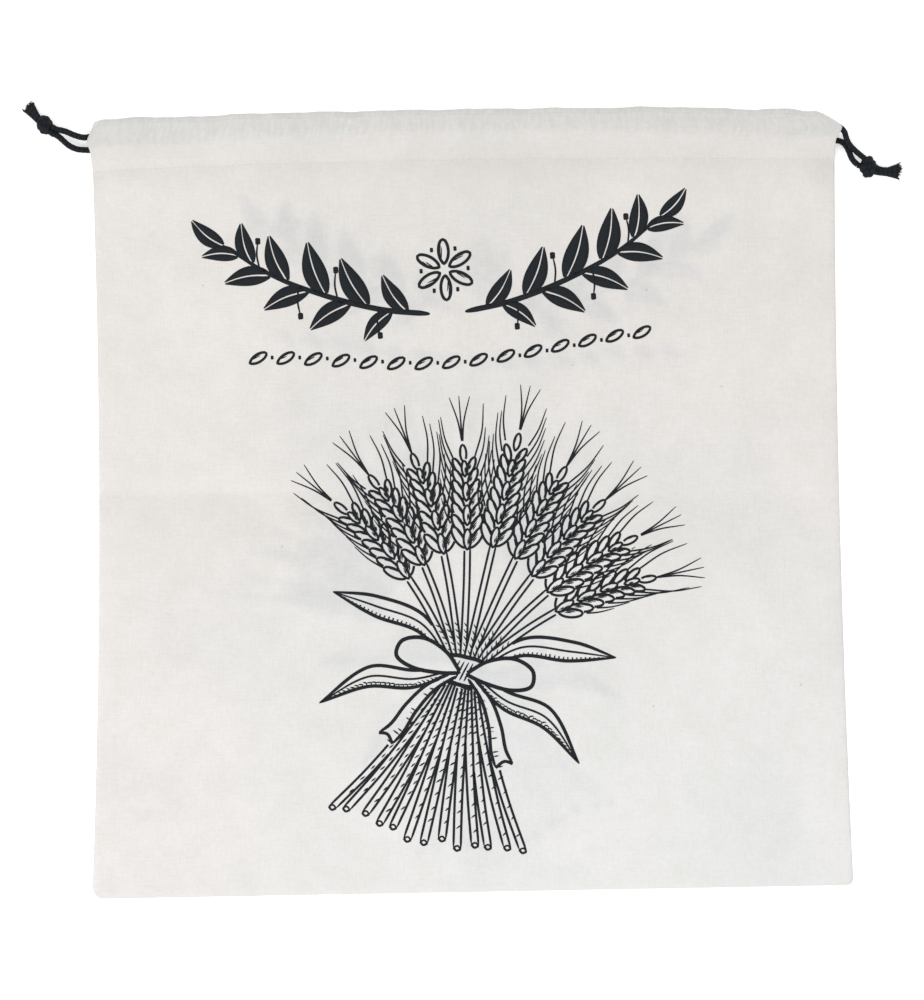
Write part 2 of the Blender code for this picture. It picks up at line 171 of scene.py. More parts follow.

# %% [markdown]
# ## The cords
# Each drawcord is a round braid of black cotton, 2.5 mm thick. It leaves its knot, runs through the front
# channel, turns at the far opening and comes back through the back channel. Its route is a list of given
# points, within about a millimetre of the fixed model's, and a smooth curve runs through them. It
# could be a curve with a round bevel. A grid is wrapped round the route in its place, because the braid's
# relief is then in the mesh, and its pattern follows the cord.

# %% The cords' routes, in mm
CORD = 2.5
CORD_ROUTES = {
    "left": (
        (-206.1, 192.3, 4.3), (-201.6, 191.2, 4.6), (-197.0, 189.2, 5.0), (-192.5, 187.9, 5.2),
        (-188.7, 188.3, 5.2), (-185.3, 189.8, 5.15), (-181.0, 191.2, 5.15), (-170.0, 191.85, 5.15),
        (-130.0, 192.83, 5.15), (-75.0, 193.74, 5.15), (-20.0, 194.17, 5.15), (35.0, 194.1, 5.15),
        (90.0, 193.54, 5.15), (140.0, 192.6, 5.15), (170.0, 191.95, 5.15), (180.2, 191.95, 4.95),
        (184.0, 191.85, 4.35), (186.6, 191.16, 3.55), (188.46, 189.27, 2.85), (189.15, 186.7, 2.6),
        (188.46, 184.13, 2.55), (186.6, 182.24, 2.55), (184.0, 181.55, 2.55), (172.0, 181.9, 2.55),
        (140.0, 182.71, 2.55), (90.0, 183.64, 2.55), (35.0, 184.2, 2.55), (-20.0, 184.27, 2.55),
        (-75.0, 183.84, 2.55), (-130.0, 182.93, 2.55), (-170.0, 181.95, 2.55), (-181.0, 181.65, 2.55),
        (-186.0, 181.55, 2.55), (-191.4, 181.7, 2.6), (-196.0, 182.2, 2.8), (-199.8, 184.0, 3.2),
        (-202.7, 186.5, 3.6), (-205.1, 188.7, 3.9), (-207.6, 190.1, 4.1),
    ),
    "right": (
        (203.3, 172.7, 4.3), (200.1, 175.5, 4.7), (197.3, 178.6, 5.0), (195.8, 181.8, 5.3),
        (194.9, 184.9, 5.5), (192.4, 187.4, 5.6), (189.0, 188.5, 5.65), (185.0, 188.8, 5.55),
        (178.0, 188.82, 5.2), (165.0, 189.18, 5.15), (130.0, 190.03, 5.15), (75.0, 190.94, 5.15),
        (20.0, 191.37, 5.15), (-35.0, 191.3, 5.15), (-90.0, 190.74, 5.15), (-140.0, 189.81, 5.15),
        (-170.0, 189.05, 5.15), (-178.0, 188.8, 5.2), (-181.3, 188.72, 5.35), (-183.88, 188.03, 5.5),
        (-185.77, 186.14, 5.6), (-186.46, 183.56, 5.65), (-185.77, 180.98, 5.45), (-183.88, 179.09, 4.8),
        (-181.3, 178.4, 3.75), (-178.0, 178.5, 2.85), (-173.0, 178.85, 2.55), (-130.0, 180.13, 2.55),
        (-75.0, 181.04, 2.55), (-20.0, 181.47, 2.55), (35.0, 181.4, 2.55), (90.0, 180.84, 2.55),
        (140.0, 179.91, 2.55), (172.0, 179.09, 2.55), (184.0, 179.2, 2.55), (188.3, 180.3, 2.55),
        (191.5, 180.7, 2.6), (194.3, 179.6, 2.65), (196.2, 177.3, 2.7), (197.4, 174.7, 2.9),
        (198.3, 172.2, 3.15), (199.6, 170.0, 3.5), (201.5, 168.2, 3.86),
    ),
}


def smooth_route(points, spacing):
    """Points this far apart, in mm, on a smooth curve through the route's own points."""
    route = [Vector(p) for p in points]
    route = [route[0] * 2 - route[1]] + route + [route[-1] * 2 - route[-2]]
    curve = []
    for before, start, end, after in zip(route, route[1:], route[2:], route[3:]):
        span = (end - start).length
        leave = (end - before) * span / (span + (start - before).length)
        arrive = (after - start) * span / (span + (after - end).length)
        steps = max(round(span / spacing), 1)
        for i in range(steps):
            t = i / steps
            curve.append(
                start * (2 * t ** 3 - 3 * t ** 2 + 1) + leave * (t ** 3 - 2 * t ** 2 + t)
                + end * (3 * t ** 2 - 2 * t ** 3) + arrive * (t ** 3 - t ** 2)
            )
    return curve + [route[-2]]


# %% Wrap a grid round a path
TUBE_SIDES = 16
BRAID_TURNS = 4
BRAID_PITCH = 5.0
BRAID_RELIEF = 0.075
WELD_DISTANCE = 1e-7


def uv_layer(bm):
    return bm.loops.layers.uv.get("UVMap") or bm.loops.layers.uv.new("UVMap")


def set_uv(faces, uv_of, place_of):
    """Write each corner's place on the flat map, looked up by its point."""
    for face in faces:
        for loop in face.loops:
            loop[uv_of].uv = place_of.get(loop.vert, (0.0, 0.0))


def add_tube(bm, path, radii, sides=TUBE_SIDES, relief=BRAID_RELIEF, closed=False, flatness=None):
    """Add a tube to the bmesh. Its UV runs round the cord, and along it in metres.

    A closed tube is a ring. Any other gets a cap at each end.
    """
    uv_of = uv_layer(bm)
    count = len(path)
    made = bmesh.ops.create_grid(bm, x_segments=sides, y_segments=count - 1, size=0.5)["verts"]
    lengths = [0.0]
    for a, b in zip(path, path[1:]):
        lengths.append(lengths[-1] + (b - a).length)
    frames = []
    side = None
    for i, point in enumerate(path):
        ahead = (path[min(i + 1, count - 1)] - path[max(i - 1, 0)]).normalized()
        if side is None:
            side = ahead.orthogonal().normalized()
        side = (side - ahead * side.dot(ahead)).normalized()
        frames.append((side, ahead.cross(side)))
    place_of = {}
    for vert in made:
        row = round((vert.co.y + 0.5) * (count - 1))
        turn = round((vert.co.x + 0.5) * sides) / sides
        place_of[vert] = (turn, lengths[row] * MM)
        phase = lengths[row] / BRAID_PITCH
        braid = math.cos(math.tau * (BRAID_TURNS * turn + phase)) * math.cos(
            math.tau * (BRAID_TURNS * turn - phase))
        radius = radii[row] * (1 + relief * braid)
        across, up = frames[row]
        angle = math.tau * turn
        out = (across * math.cos(angle) + up * math.sin(angle)) * radius
        if flatness:
            out.z *= flatness[row]
        vert.co = (path[row] + out) * MM
    set_uv({face for vert in made for face in vert.link_faces}, uv_of, place_of)
    bmesh.ops.remove_doubles(bm, verts=made, dist=WELD_DISTANCE)
    if not closed:
        alive = [vert for vert in made if vert.is_valid]
        rim = list({edge for vert in alive for edge in vert.link_edges if edge.is_boundary})
        set_uv(bmesh.ops.holes_fill(bm, edges=rim, sides=sides)["faces"], uv_of, place_of)


print("the strands cross each", BRAID_PITCH / 2, "mm")

# %% [markdown]
# ## Black braided cord
# Cotton braid, dyed in the yarn. Its strands cross at a slant, four each way round the cord, with a crossing
# every 2.5 mm. To the eye it is a dull blue-black with a fine plaited grain. Its colour is painted lighter on
# the crowns of the strands and darker between them, as painted highlight and shade, and loose fibres scatter
# the rest.

# %% Make the cord's material
cord_material, cord_shader = new_material("black_cotton_braid", 0.75, specular=0.16)
cord_uv = add_node(cord_material, "ShaderNodeUVMap", {"uv_map": "UVMap"}).outputs["UV"]
cord_place = add_node(cord_material, "ShaderNodeSeparateXYZ", Vector=cord_uv)
turns = []
for axis, winding in (("X", math.tau * BRAID_TURNS), ("Y", math.tau / (BRAID_PITCH * MM))):
    turns.append(add_node(
        cord_material, "ShaderNodeMath", {"operation": "MULTIPLY"},
        _0=cord_place.outputs[axis], _1=winding).outputs[0])
slants = []
for operation in ("ADD", "SUBTRACT"):
    slant = add_node(cord_material, "ShaderNodeMath", {"operation": operation}, _0=turns[0], _1=turns[1])
    slants.append(add_node(
        cord_material, "ShaderNodeMath", {"operation": "COSINE"}, _0=slant.outputs[0]).outputs[0])
crossing = add_node(cord_material, "ShaderNodeMath", {"operation": "MULTIPLY"}, _0=slants[0], _1=slants[1])
fibres = add_node(
    cord_material, "ShaderNodeTexNoise", {"noise_dimensions": "3D"}, Scale=2200.0, Detail=3.0,
    Vector=add_node(cord_material, "ShaderNodeTexCoord").outputs["Object"])
strand_height = add_node(
    cord_material, "ShaderNodeMath", {"operation": "MULTIPLY_ADD"},
    _0=fibres.outputs["Fac"], _1=0.5, _2=crossing.outputs[0])
# The colour is painted lighter on the crowns of the strands and darker between them, as painted highlight and
# shade, with the fibres' uneven tone.
painted_crown_light_and_fibres = add_node(
    cord_material, "ShaderNodeMapRange", Value=strand_height.outputs[0],
    From_Min=-0.8, From_Max=1.4, To_Min=0.0, To_Max=1.0)
cord_colour = add_node(
    cord_material, "ShaderNodeMix", {"data_type": "RGBA"}, Factor=painted_crown_light_and_fibres.outputs["Result"],
    _6=linear("0B0E12"), _7=linear("23292F"))
cord_bump = add_node(
    cord_material, "ShaderNodeBump", Strength=0.9, Distance=0.00025, Height=strand_height.outputs[0])
cord_material.node_tree.links.new(cord_colour.outputs[2], cord_shader.inputs["Base Color"])
cord_material.node_tree.links.new(cord_bump.outputs["Normal"], cord_shader.inputs["Normal"])
print("nodes in the braid's material:", len(cord_material.node_tree.nodes))

# %% Lay the cords
TUBE_SPACING = 0.9
# A loose braid looks thicker than the size it is sold as.
SOFT_BRAID = 1.19
for hand, route in CORD_ROUTES.items():
    cord_bm = bmesh.new()
    line = smooth_route(route, TUBE_SPACING)
    add_tube(cord_bm, line, [CORD / 2 * SOFT_BRAID] * len(line))
    bmesh.ops.recalc_face_normals(cord_bm, faces=cord_bm.faces[:])
    finish_piece(hand + "_drawcord", cord_bm, cord_material)
    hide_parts("drawcord_" + hand)
    print(hand, "cord, mm:", round(sum((b - a).length for a, b in zip(line, line[1:]))))

# %% [markdown]
# ## The knots
# Each cord's two ends are tied together in a small overhand knot, with two short tails. The two strands are
# round tubes that run on from the cord. Three closed rings go round them, leaning across. The middle ring is
# the widest, which gives the knot its round outline. The braid opens towards its cut ends: the tails swell
# and flatten, and the yarns stand out of them by uneven lengths.

# %% The knots' places, in mm
KNOTS = {
    "left": {
        "centre": (-212.0, 194.7, 4.1), "heading": 144, "lean": 24,
        "wraps": ((-1.8, 2.3), (0.0, 3.1), (1.8, 2.3)), "flares": ((0.56, 1.3), (0.56, 1.3)),
        "strands": (
            ((-206.4, 192.5, 4.3), (-209.2, 194.2, 4.5), (-212.3, 196.4, 4.6), (-215.1, 198.4, 3.8),
             (-217.4, 201.6, 2.6), (-219.6, 204.9, 1.9)),
            ((-208.0, 190.05, 4.1), (-210.4, 191.9, 4.0), (-213.0, 194.3, 3.9), (-215.7, 197.3, 3.2),
             (-218.5, 200.5, 2.1), (-221.1, 203.3, 1.8)),
        ),
    },
    "right": {
        "centre": (206.7, 167.0, 4.1), "heading": -32, "lean": 22,
        "wraps": ((-1.9, 2.6), (0.0, 4.0), (1.9, 2.9)), "flares": ((0.76, 0.6), (0.56, 1.3)),
        "strands": (
            ((203.8, 172.3, 4.3), (205.8, 170.6, 4.6), (209.0, 168.2, 4.4), (212.4, 165.8, 3.2),
             (217.4, 165.3, 2.3), (222.9, 166.3, 1.9)),
            ((202.2, 167.75, 3.9), (205.0, 166.8, 4.0), (208.0, 165.4, 3.9), (211.6, 164.2, 3.0),
             (216.9, 163.8, 2.0), (222.3, 162.9, 1.8)),
        ),
    },
}
WRAP_HEIGHT = 2.3
WRAP_SWELL = 1.38
WRAP_STEPS = 28
WRAP_TWIST = 0.5
TAIL_SWELL = 1.85
TAIL_FLATTENING = 0.34
OVERLAP = 0.9
YARNS_PER_END = 9
YARN_LENGTH = 1.9
YARN_THICKNESS = 0.6

# %% Tie the knots
def add_wrap(bm, knot, offset, wide):
    """One closed ring of cord round both strands, leaning across the knot."""
    heading = math.radians(knot["heading"])
    turned = heading + math.radians(knot["lean"])
    axis = Vector((math.cos(turned), math.sin(turned), 0.0))
    tilted = Vector((-math.sin(turned), math.cos(turned), 0.0))
    middle = Vector(knot["centre"]) + Vector((math.cos(heading), math.sin(heading), 0.0)) * offset
    ring = []
    for i in range(WRAP_STEPS + 1):
        angle = math.tau * i / WRAP_STEPS
        ring.append(
            middle + tilted * wide * math.cos(angle) + Vector((0, 0, 1)) * WRAP_HEIGHT * math.sin(angle)
            + axis * WRAP_TWIST * math.sin(angle + 0.6))
    add_tube(bm, ring, [CORD / 2 * WRAP_SWELL] * len(ring), relief=BRAID_RELIEF * 0.5, closed=True)


def add_frayed_end(bm, end, ahead, chance):
    """The yarns of a cut end, which stand out of it by uneven lengths."""
    aside = Vector((-ahead.y, ahead.x, 0.0)).normalized()
    for i in range(YARNS_PER_END):
        off = (i / (YARNS_PER_END - 1) * 2 - 1) * CORD / 2 * (TAIL_SWELL - 0.25)
        lift = chance.uniform(-0.55, 0.55)
        start = end + aside * off + Vector((0, 0, lift)) - ahead * 0.8
        way = (ahead + aside * off * 0.12).normalized()
        length = 0.8 + YARN_LENGTH * chance.uniform(0.15, 1.0)
        yarn = [start + way * length * k / 3 + aside * chance.uniform(-0.1, 0.1) for k in range(4)]
        for point in yarn:
            point.z = max(point.z, YARN_THICKNESS / 2 + 0.05)
        thick = YARN_THICKNESS / 2 * chance.uniform(0.8, 1.15)
        add_tube(bm, yarn, [thick, thick, thick * 0.95, thick * 0.45], sides=7, relief=0)


chance = random.Random(4)
for hand, knot in KNOTS.items():
    knot_bm = bmesh.new()
    for strand, (flare_from, flare_power) in zip(knot["strands"], knot["flares"]):
        start = Vector(strand[0]) + (Vector(strand[0]) - Vector(strand[1])).normalized() * OVERLAP
        line = smooth_route((tuple(start), *strand), 0.7)
        last = len(line) - 1
        past = [max(0.0, (i / last - flare_from) / (1 - flare_from)) for i in range(last + 1)]
        swell = [p ** flare_power for p in past]
        radii = [CORD / 2 * (SOFT_BRAID + (TAIL_SWELL - SOFT_BRAID) * s) for s in swell]
        flatness = [1 - TAIL_FLATTENING * s for s in swell]
        add_tube(knot_bm, line, radii, relief=BRAID_RELIEF * 0.45, flatness=flatness)
        add_frayed_end(knot_bm, line[-1], (line[-1] - line[-3]).normalized(), chance)
    for offset, wide in knot["wraps"]:
        add_wrap(knot_bm, knot, offset, wide)
    bmesh.ops.recalc_face_normals(knot_bm, faces=knot_bm.faces[:])
    finish_piece(hand + "_knot", knot_bm, cord_material)
    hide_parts("knot_" + hand)
    route = [tuple(c * MM for c in p) for p in smooth_route(CORD_ROUTES[hand], 4.0)]

# %% [markdown]
# ## The bag's outline
# The outline is four edges: a top edge with a slight crown that droops at its ends and has a few
# small rises and dips, two sides that bow in a little and swell at the mouth, where the cords push them out,
# and a straight bottom. A point of the cloth is named by how far across it is, from -1 to 1, and by its
# depth, which is how far down the cloth it lies from the top edge.

# %% The outline, in mm
TOP_Y = 196.5
TOP_CROWN = 3.0
BOTTOM_Y = -199.4
BOTTOM_TILT = 0.6
LENGTH = TOP_Y - BOTTOM_Y
LEFT_SIDE = {
    "top": 188.7, "bottom": 194.0, "bow": 3.9, "corner": 6.0,
    "mouth_y": 186.0, "mouth_swell": 2.0, "mouth_reach": 5.2, "cut": 0.22,
}
RIGHT_SIDE = {
    "top": 190.3, "bottom": 194.0, "bow": 2.4, "corner": 3.5,
    "mouth_y": 187.4, "mouth_swell": 3.5, "mouth_reach": 4.4, "cut": 0.0,
}
LEFT_DROOP = {"drop": 1.2, "start": 0.972, "power": 2.0}
RIGHT_DROOP = {"drop": 8.8, "start": 0.938, "power": 1.6}
DROOP_DEPTH = 3.0
FALL_FROM, FALL_TO = 20.2, 26.2
TOP_WAVES = ((0.20, 41.0, 0.4), (0.13, 23.0, 2.1), (0.08, 11.0, 1.0))
TOP_BUMPS = (
    (-170.5, 7.0, 1.05), (-102, 20.0, 0.35), (101, 20.0, 0.5), (142, 12.0, -0.6), (176, 5.5, -1.3),
)
HALF_TOP = 190
HALF_WIDTH = 191


def smooth(t):
    t = min(max(t, 0.0), 1.0)
    return t * t * (3 - 2 * t)


def mix(a, b, t):
    return a + (b - a) * t


def crown(across):
    return TOP_Y + TOP_CROWN * (1 - across * across)


def top_edge(across):
    droop = LEFT_DROOP if across < 0 else RIGHT_DROOP
    t = max((abs(across) - droop["start"]) / (1 - droop["start"]), 0.0)
    waves = sum(high * math.sin(across * HALF_TOP / long * math.tau + at) for high, long, at in TOP_WAVES)
    bumps = sum(high * math.exp(-(((across * HALF_TOP - at) / wide) ** 2)) for at, wide, high in TOP_BUMPS)
    drooping = crown(across) - droop["drop"] * t ** droop["power"]
    # The waves die out over the last eighth at each end.
    return drooping + waves * (1 - smooth(abs(across) * 8 - 7)) + bumps


def bottom_edge(across):
    return BOTTOM_Y + BOTTOM_TILT * across


def half_width(side, y, above_bottom):
    t = (TOP_Y - y) / LENGTH
    straight = mix(side["top"], side["bottom"], t) - side["bow"] * 4 * t * (1 - t)
    swell = side["mouth_swell"] * math.exp(-(((y - side["mouth_y"]) / side["mouth_reach"]) ** 2))
    below_arc = max(side["corner"] - above_bottom, 0.0)
    inset = side["corner"] - math.sqrt(max(side["corner"] ** 2 - below_arc * below_arc, 0.0))
    cut = side["cut"] * max(y - side["mouth_y"], 0.0)
    return straight + swell - inset - cut


def place_x(across, y):
    above = max(y - bottom_edge(across), 0.0)
    return mix(-half_width(LEFT_SIDE, y, above), half_width(RIGHT_SIDE, y, above), (across + 1) / 2)


def place_y(across, depth):
    top = top_edge(across)
    seam = crown(across) - FALL_TO
    if depth <= DROOP_DEPTH:
        return top - depth
    if depth <= FALL_TO:
        return mix(top - DROOP_DEPTH, seam, (depth - DROOP_DEPTH) / (FALL_TO - DROOP_DEPTH))
    return mix(seam, bottom_edge(across), (depth - FALL_TO) / (LENGTH - FALL_TO))


print("widths, mm:", [round(place_x(1, y) - place_x(-1, y)) for y in (186, 0, -180)])

# %% [markdown]
# ## Creases and folds
# Cloth that was folded and pressed keeps soft creases. Each is a straight line with a width and a height,
# and a steeper core where the press was hardest. They are placed one by one from the photograph: a trough
# between two low swells across the middle, a ridge down the right, a short one at the bottom and some broad
# swells. Slow uneven waves cover the rest, because no cloth lies quite flat.

# %% Heights of the front panel, in mm
CREASES = (
    (-185, 19, 60, 13, 9, 0.6), (-185, -21, 60, -27, 18, 1.0), (60, 13, 170, 10, 9, 0.3),
    (60, -27, 170, -29, 16, 0.5), (136, 160, 139, -175, 15, 0.8), (-15, -105, -5, -190, 11, 0.7),
    (-130, 120, 70, 90, 32, 0.7), (-90, -70, 90, -110, 36, 0.9), (-95, 155, -110, 40, 22, 0.7),
)
SHARP_CREASES = (
    (-187, 6.9, -30, 4.1, 1.6, -0.14), (-30, 4.1, 120, 1.4, 2.2, -0.08), (135, 165, 138, 40, 3.0, 0.12),
    (-15.5, -111, -5.4, -196, 2.0, 0.16), (-168, 120, -120, 96, 4.0, 0.16), (150, 152, 186, 139, 3.0, 0.18),
    (96, -120, 160, -150, 5.0, 0.18), (-150, -60, -96, -48, 5.0, 0.16), (40, 150, 88, 132, 5.0, 0.15),
)
SWELLS = tuple(
    (rng.uniform(0.02, 0.07), rng.uniform(0.03, 0.16), rng.uniform(0.03, 0.16), rng.uniform(0, math.tau))
    for rng in [random.Random(11)] for _ in range(14)
)
FLAT_RIM = 16.0
ROLLED_RIM = 3.0
SEAM_ALLOWANCE = 9.0
SEAM_RISE = 0.22
CLOTH = 0.5
BODY_MIDDLE = 1.35
RIM_MIDDLE = 0.85
SEAM_MIDDLE = 3.9
CASING_MIDDLE = 6.85
SEAM_END, BODY_FROM = 28.2, 58.0
HEM_REACH = 0.922


def away_from(line, x, y):
    """How far a point is from a line from x1, y1 to x2, y2, in widths of that line."""
    x1, y1, x2, y2, width = line[:5]
    run_x, run_y = x2 - x1, y2 - y1
    t = min(max(((x - x1) * run_x + (y - y1) * run_y) / (run_x ** 2 + run_y ** 2), 0.0), 1.0)
    return math.hypot(x - x1 - run_x * t, y - y1 - run_y * t) / width


def from_side(x, y):
    """How far a point is from the nearer side, in mm."""
    return min(x + half_width(LEFT_SIDE, y, LENGTH), half_width(RIGHT_SIDE, y, LENGTH) - x)


def relief(x, y, side_rim):
    soft = sum(line[5] * math.exp(-away_from(line, x, y) ** 2) for line in CREASES)
    sharp = sum(line[5] * math.exp(-away_from(line, x, y)) for line in SHARP_CREASES)
    slow = sum(high * math.sin(x * fx + y * fy + at) for high, fx, fy, at in SWELLS)
    allowance = SEAM_RISE * (smooth(side_rim / 2) - smooth((side_rim - SEAM_ALLOWANCE) / 1.6))
    return (soft + sharp + slow) * smooth(min(side_rim, y - BOTTOM_Y) / FLAT_RIM) + allowance


def body_middle(x, y):
    side_rim = from_side(x, y)
    rolled = math.sqrt(min(max(min(side_rim, y - BOTTOM_Y) / ROLLED_RIM, 0.0), 1.0))
    return mix(RIM_MIDDLE, BODY_MIDDLE, rolled) + relief(x, y, side_rim)


print("creases:", len(CREASES) + len(SHARP_CREASES))
print("height in the middle, mm:", round(body_middle(0, 0), 2))

# %% [markdown]
# ## The channel
# At the mouth the cloth is folded inward and sewn down 26 mm below the edge, which makes a channel for the
# cords. The cloth rises over the front cords, dips behind them, and falls to the row of stitches. Pulled
# cords leave fine upright puckers, 4 to 12 mm apart and no two alike, so each has its own place, height and
# length from a seeded draw.

# %% Heights of the channel, in mm
PUCKERS = tuple(
    (x, rng.uniform(1.1, 2.6), rng.uniform(0.12, 0.42) * rng.choice((1, 1, -1)), rng.uniform(-2, 3),
     rng.uniform(8, 17), rng.uniform(-0.10, 0.10))
    for rng in [random.Random(29)]
    for x in [-184 + 5.6 * i + rng.uniform(-2.4, 2.4) for i in range(67)]
)
SEAM_PUCKERS = tuple(
    (x, rng.uniform(1.2, 2.4), rng.uniform(0.05, 0.16), rng.uniform(3, 9), rng.uniform(-0.2, 0.2))
    for rng in [random.Random(31)]
    for x in [-184 + 6.3 * i + rng.uniform(-2.6, 2.6) for i in range(60)]
)
MOUTH_FROM, MOUTH_SPAN, MOUTH_RISE = 0.86, 0.07, 0.42
DIP_AT, DIP_WIDTH, DIP = 12.2, 1.9, 0.7
BEHIND_CORDS = 0.35
HEM_RISE, HEM_RISE_FROM, HEM_RISE_SPAN = 2.8, 9.4, 5.5


def beyond_hem(across):
    """0 where the hem is, and up to 1 at the sides, where the channel is open."""
    return smooth((abs(across) - HEM_REACH) / (1 - HEM_REACH))


def fallen(depth):
    """How far the cloth has come down from the cords to the stitches, from 0 to 1."""
    return smooth((depth - FALL_FROM) / (FALL_TO - FALL_FROM))


def pucker_height(x, depth):
    total = 0.0
    for at, width, high, start, end, slant in PUCKERS:
        off = (x - at - slant * depth) / width
        if abs(off) < 3:
            ridge = high * math.exp(-off * off)
            total += ridge * smooth((depth - start) / 3) * (1 - smooth((depth - end) / 5))
    for at, width, high, reach, slant in SEAM_PUCKERS:
        off = (x - at - slant * (depth - FALL_TO)) / width
        if abs(off) < 3:
            total += high * math.exp(-off * off) * math.exp(-((depth - FALL_TO - 1) / reach) ** 2)
    return total


def front_middle(across, depth):
    """The height of the front cloth's middle, from the top edge to the bottom."""
    y = place_y(across, depth)
    x = place_x(across, y)
    at_side = beyond_hem(across)
    seam = mix(SEAM_MIDDLE, BODY_MIDDLE, at_side)
    puckers = pucker_height(x, depth) * (1 - at_side)
    if depth < FALL_TO:
        end = smooth((abs(across) - MOUTH_FROM) / MOUTH_SPAN)
        dip = DIP * math.exp(-((depth - DIP_AT) / DIP_WIDTH) ** 2) + BEHIND_CORDS * smooth((depth - 12) / 3)
        over_cords = CASING_MIDDLE + MOUTH_RISE * end - dip * (1 - end)
        return mix(over_cords, seam, fallen(depth)) + puckers
    return mix(seam, body_middle(x, y), smooth((depth - SEAM_END) / (BODY_FROM - SEAM_END))) + puckers


def hem_rise(depth):
    return HEM_RISE * (smooth((depth - HEM_RISE_FROM) / HEM_RISE_SPAN) - fallen(depth))


print("puckers:", len(PUCKERS) + len(SEAM_PUCKERS))
print("height over the cords and at the seam, mm:", [round(front_middle(0, d), 2) for d in (5, FALL_TO)])

# %% [markdown]
# ## Weaving the two panels
# Each panel with its fold and hem is one strip of cloth, so it starts as one grid. Its rows run up the panel,
# over the fold and down the hem. Past the ends of the hem the fold stays open, and the cords come out there.
# A Solidify modifier gives the strip the 0.5 mm of a medium cotton.

# %% Make a panel from one grid
CORNER_ROWS = (0.0, 0.25, 0.7, 1.3, 2.1, 3.2, 4.6, 6.2)
FOLD_FROM = 3.0
HEM_FROM, HEM_TO = 3.2, 26.8
BACK_MIDDLE = 0.32


def panel_rows(body_rows, casing_rows, fold_steps, hem_rows):
    """Each row's kind, with its depth in mm, or its angle where it goes round the fold."""
    low = LENGTH - CORNER_ROWS[-1]
    rows = [("sheet", LENGTH - above) for above in CORNER_ROWS]
    rows += [("sheet", mix(low, BODY_FROM, (i + 1) / body_rows)) for i in range(body_rows)]
    rows += [("sheet", mix(BODY_FROM, FOLD_FROM, (i + 1) / casing_rows)) for i in range(casing_rows)]
    rows += [("fold", math.pi * i / fold_steps) for i in range(fold_steps + 1)]
    return rows + [("hem", mix(HEM_FROM, HEM_TO, i / (hem_rows - 1))) for i in range(hem_rows)]


END_COLUMNS = (0.93, 0.938, 0.946, 0.954, 0.962, 0.97, 0.977, 0.984, 0.99, 0.995, 1.0)
FRONT_STRIP = {
    "outside": 1, "middle": front_middle, "fold_depth": 2.4, "hem": 3.1,
    "columns": 152, "rows": panel_rows(146, 28, 8, 12),
}
BACK_STRIP = {
    "outside": -1, "middle": lambda across, depth: BACK_MIDDLE, "fold_depth": 0.7, "hem": 1.8,
    "columns": 76, "rows": panel_rows(70, 12, 8, 10),
}
UV_SIZE = 500.0
FOLD_LENGTH = 4.0


def strip_point(strip, across, row):
    kind, value = row
    if kind != "fold":
        y = place_y(across, value)
        z = strip["middle"](across, value) if kind == "sheet" else strip["hem"] + hem_rise(value)
        return Vector((place_x(across, y), y, z))
    reach = strip["fold_depth"]
    top = strip["middle"](across, reach + CLOTH / 2)
    tall = abs(top - strip["hem"]) / 2
    level = place_y(across, reach + CLOTH / 2)
    y = level + reach * math.sin(value)
    z = (top + strip["hem"]) / 2 + strip["outside"] * tall * math.cos(value)
    opened = beyond_hem(across)
    y = mix(y, mix(level, top_edge(across), math.sin(value)), opened)
    return Vector((place_x(across, y), y, mix(z, top, opened)))


def make_strip(name, strip, material):
    rows = strip["rows"]
    steps = strip["columns"]
    columns = [-c for c in reversed(END_COLUMNS)]
    columns += [HEM_REACH * (2 * i / steps - 1) for i in range(steps + 1)] + list(END_COLUMNS)
    crest = rows.index(("fold", math.pi / 2))
    bm = bmesh.new()
    uv_of = uv_layer(bm)
    made = bmesh.ops.create_grid(
        bm, x_segments=len(columns) - 1, y_segments=len(rows) - 1, size=0.5)["verts"]
    flat_place = {}
    past_hem = []
    for vert in made:
        column = round((vert.co.x + 0.5) * (len(columns) - 1))
        row = round((vert.co.y + 0.5) * (len(rows) - 1))
        across = columns[column]
        kind, value = rows[row]
        along = {"sheet": LENGTH - value, "fold": LENGTH + value, "hem": LENGTH + value + FOLD_LENGTH}[kind]
        flat_place[vert] = (0.5 + across * HALF_WIDTH / UV_SIZE, along / UV_SIZE)
        vert.co = strip_point(strip, across, rows[row]) * MM
        if row > crest and abs(across) > HEM_REACH + 0.001:
            past_hem.append(vert)
    set_uv(bm.faces, uv_of, flat_place)
    bmesh.ops.delete(bm, geom=past_hem, context="VERTS")
    bmesh.ops.recalc_face_normals(bm, faces=bm.faces[:])
    piece = finish_piece(name, bm, material)
    thickness = piece.modifiers.new("cloth_thickness", "SOLIDIFY")
    thickness.thickness = CLOTH * MM
    thickness.offset = 0.0
    return piece


print("rows of the front panel:", len(FRONT_STRIP["rows"]), " of the back:", len(BACK_STRIP["rows"]))

# %% [markdown]
# ## The printed drawing
# The bag is screen printed in one black ink. This lesson prints a drawing of its own: two leafy branches, a
# row of grains, and a sheaf of wheat drawn with pen lines and hatching, all in the weight and size of ink
# that the photograph's print has. Each line is a stroke: points with a width at each. What stands in front
# is drawn first, and its outline is kept, so that later strokes stop where it hides them.

# %% Pen strokes
drawing = []
covered = []
pen = random.Random(7)
PEN_WEIGHT = 1.18


def inside(outline, x, y):
    hit = False
    for (ax, ay), (bx, by) in zip(outline, outline[1:] + outline[:1]):
        if (ay > y) != (by > y) and x < (bx - ax) * (y - ay) / (by - ay) + ax:
            hit = not hit
    return hit


def hidden(x, y):
    return any(
        low_x < x < high_x and low_y < y < high_y and inside(outline, x, y)
        for low_x, high_x, low_y, high_y, outline in covered
    )


def cover(outline):
    """Keep an outline, so that what is drawn later stops at it."""
    xs, ys = [p[0] for p in outline], [p[1] for p in outline]
    covered.append((min(xs), max(xs), min(ys), max(ys), outline))


def flat_route(points, spacing):
    return smooth_route([(x, y, 0.0) for x, y in points], spacing)


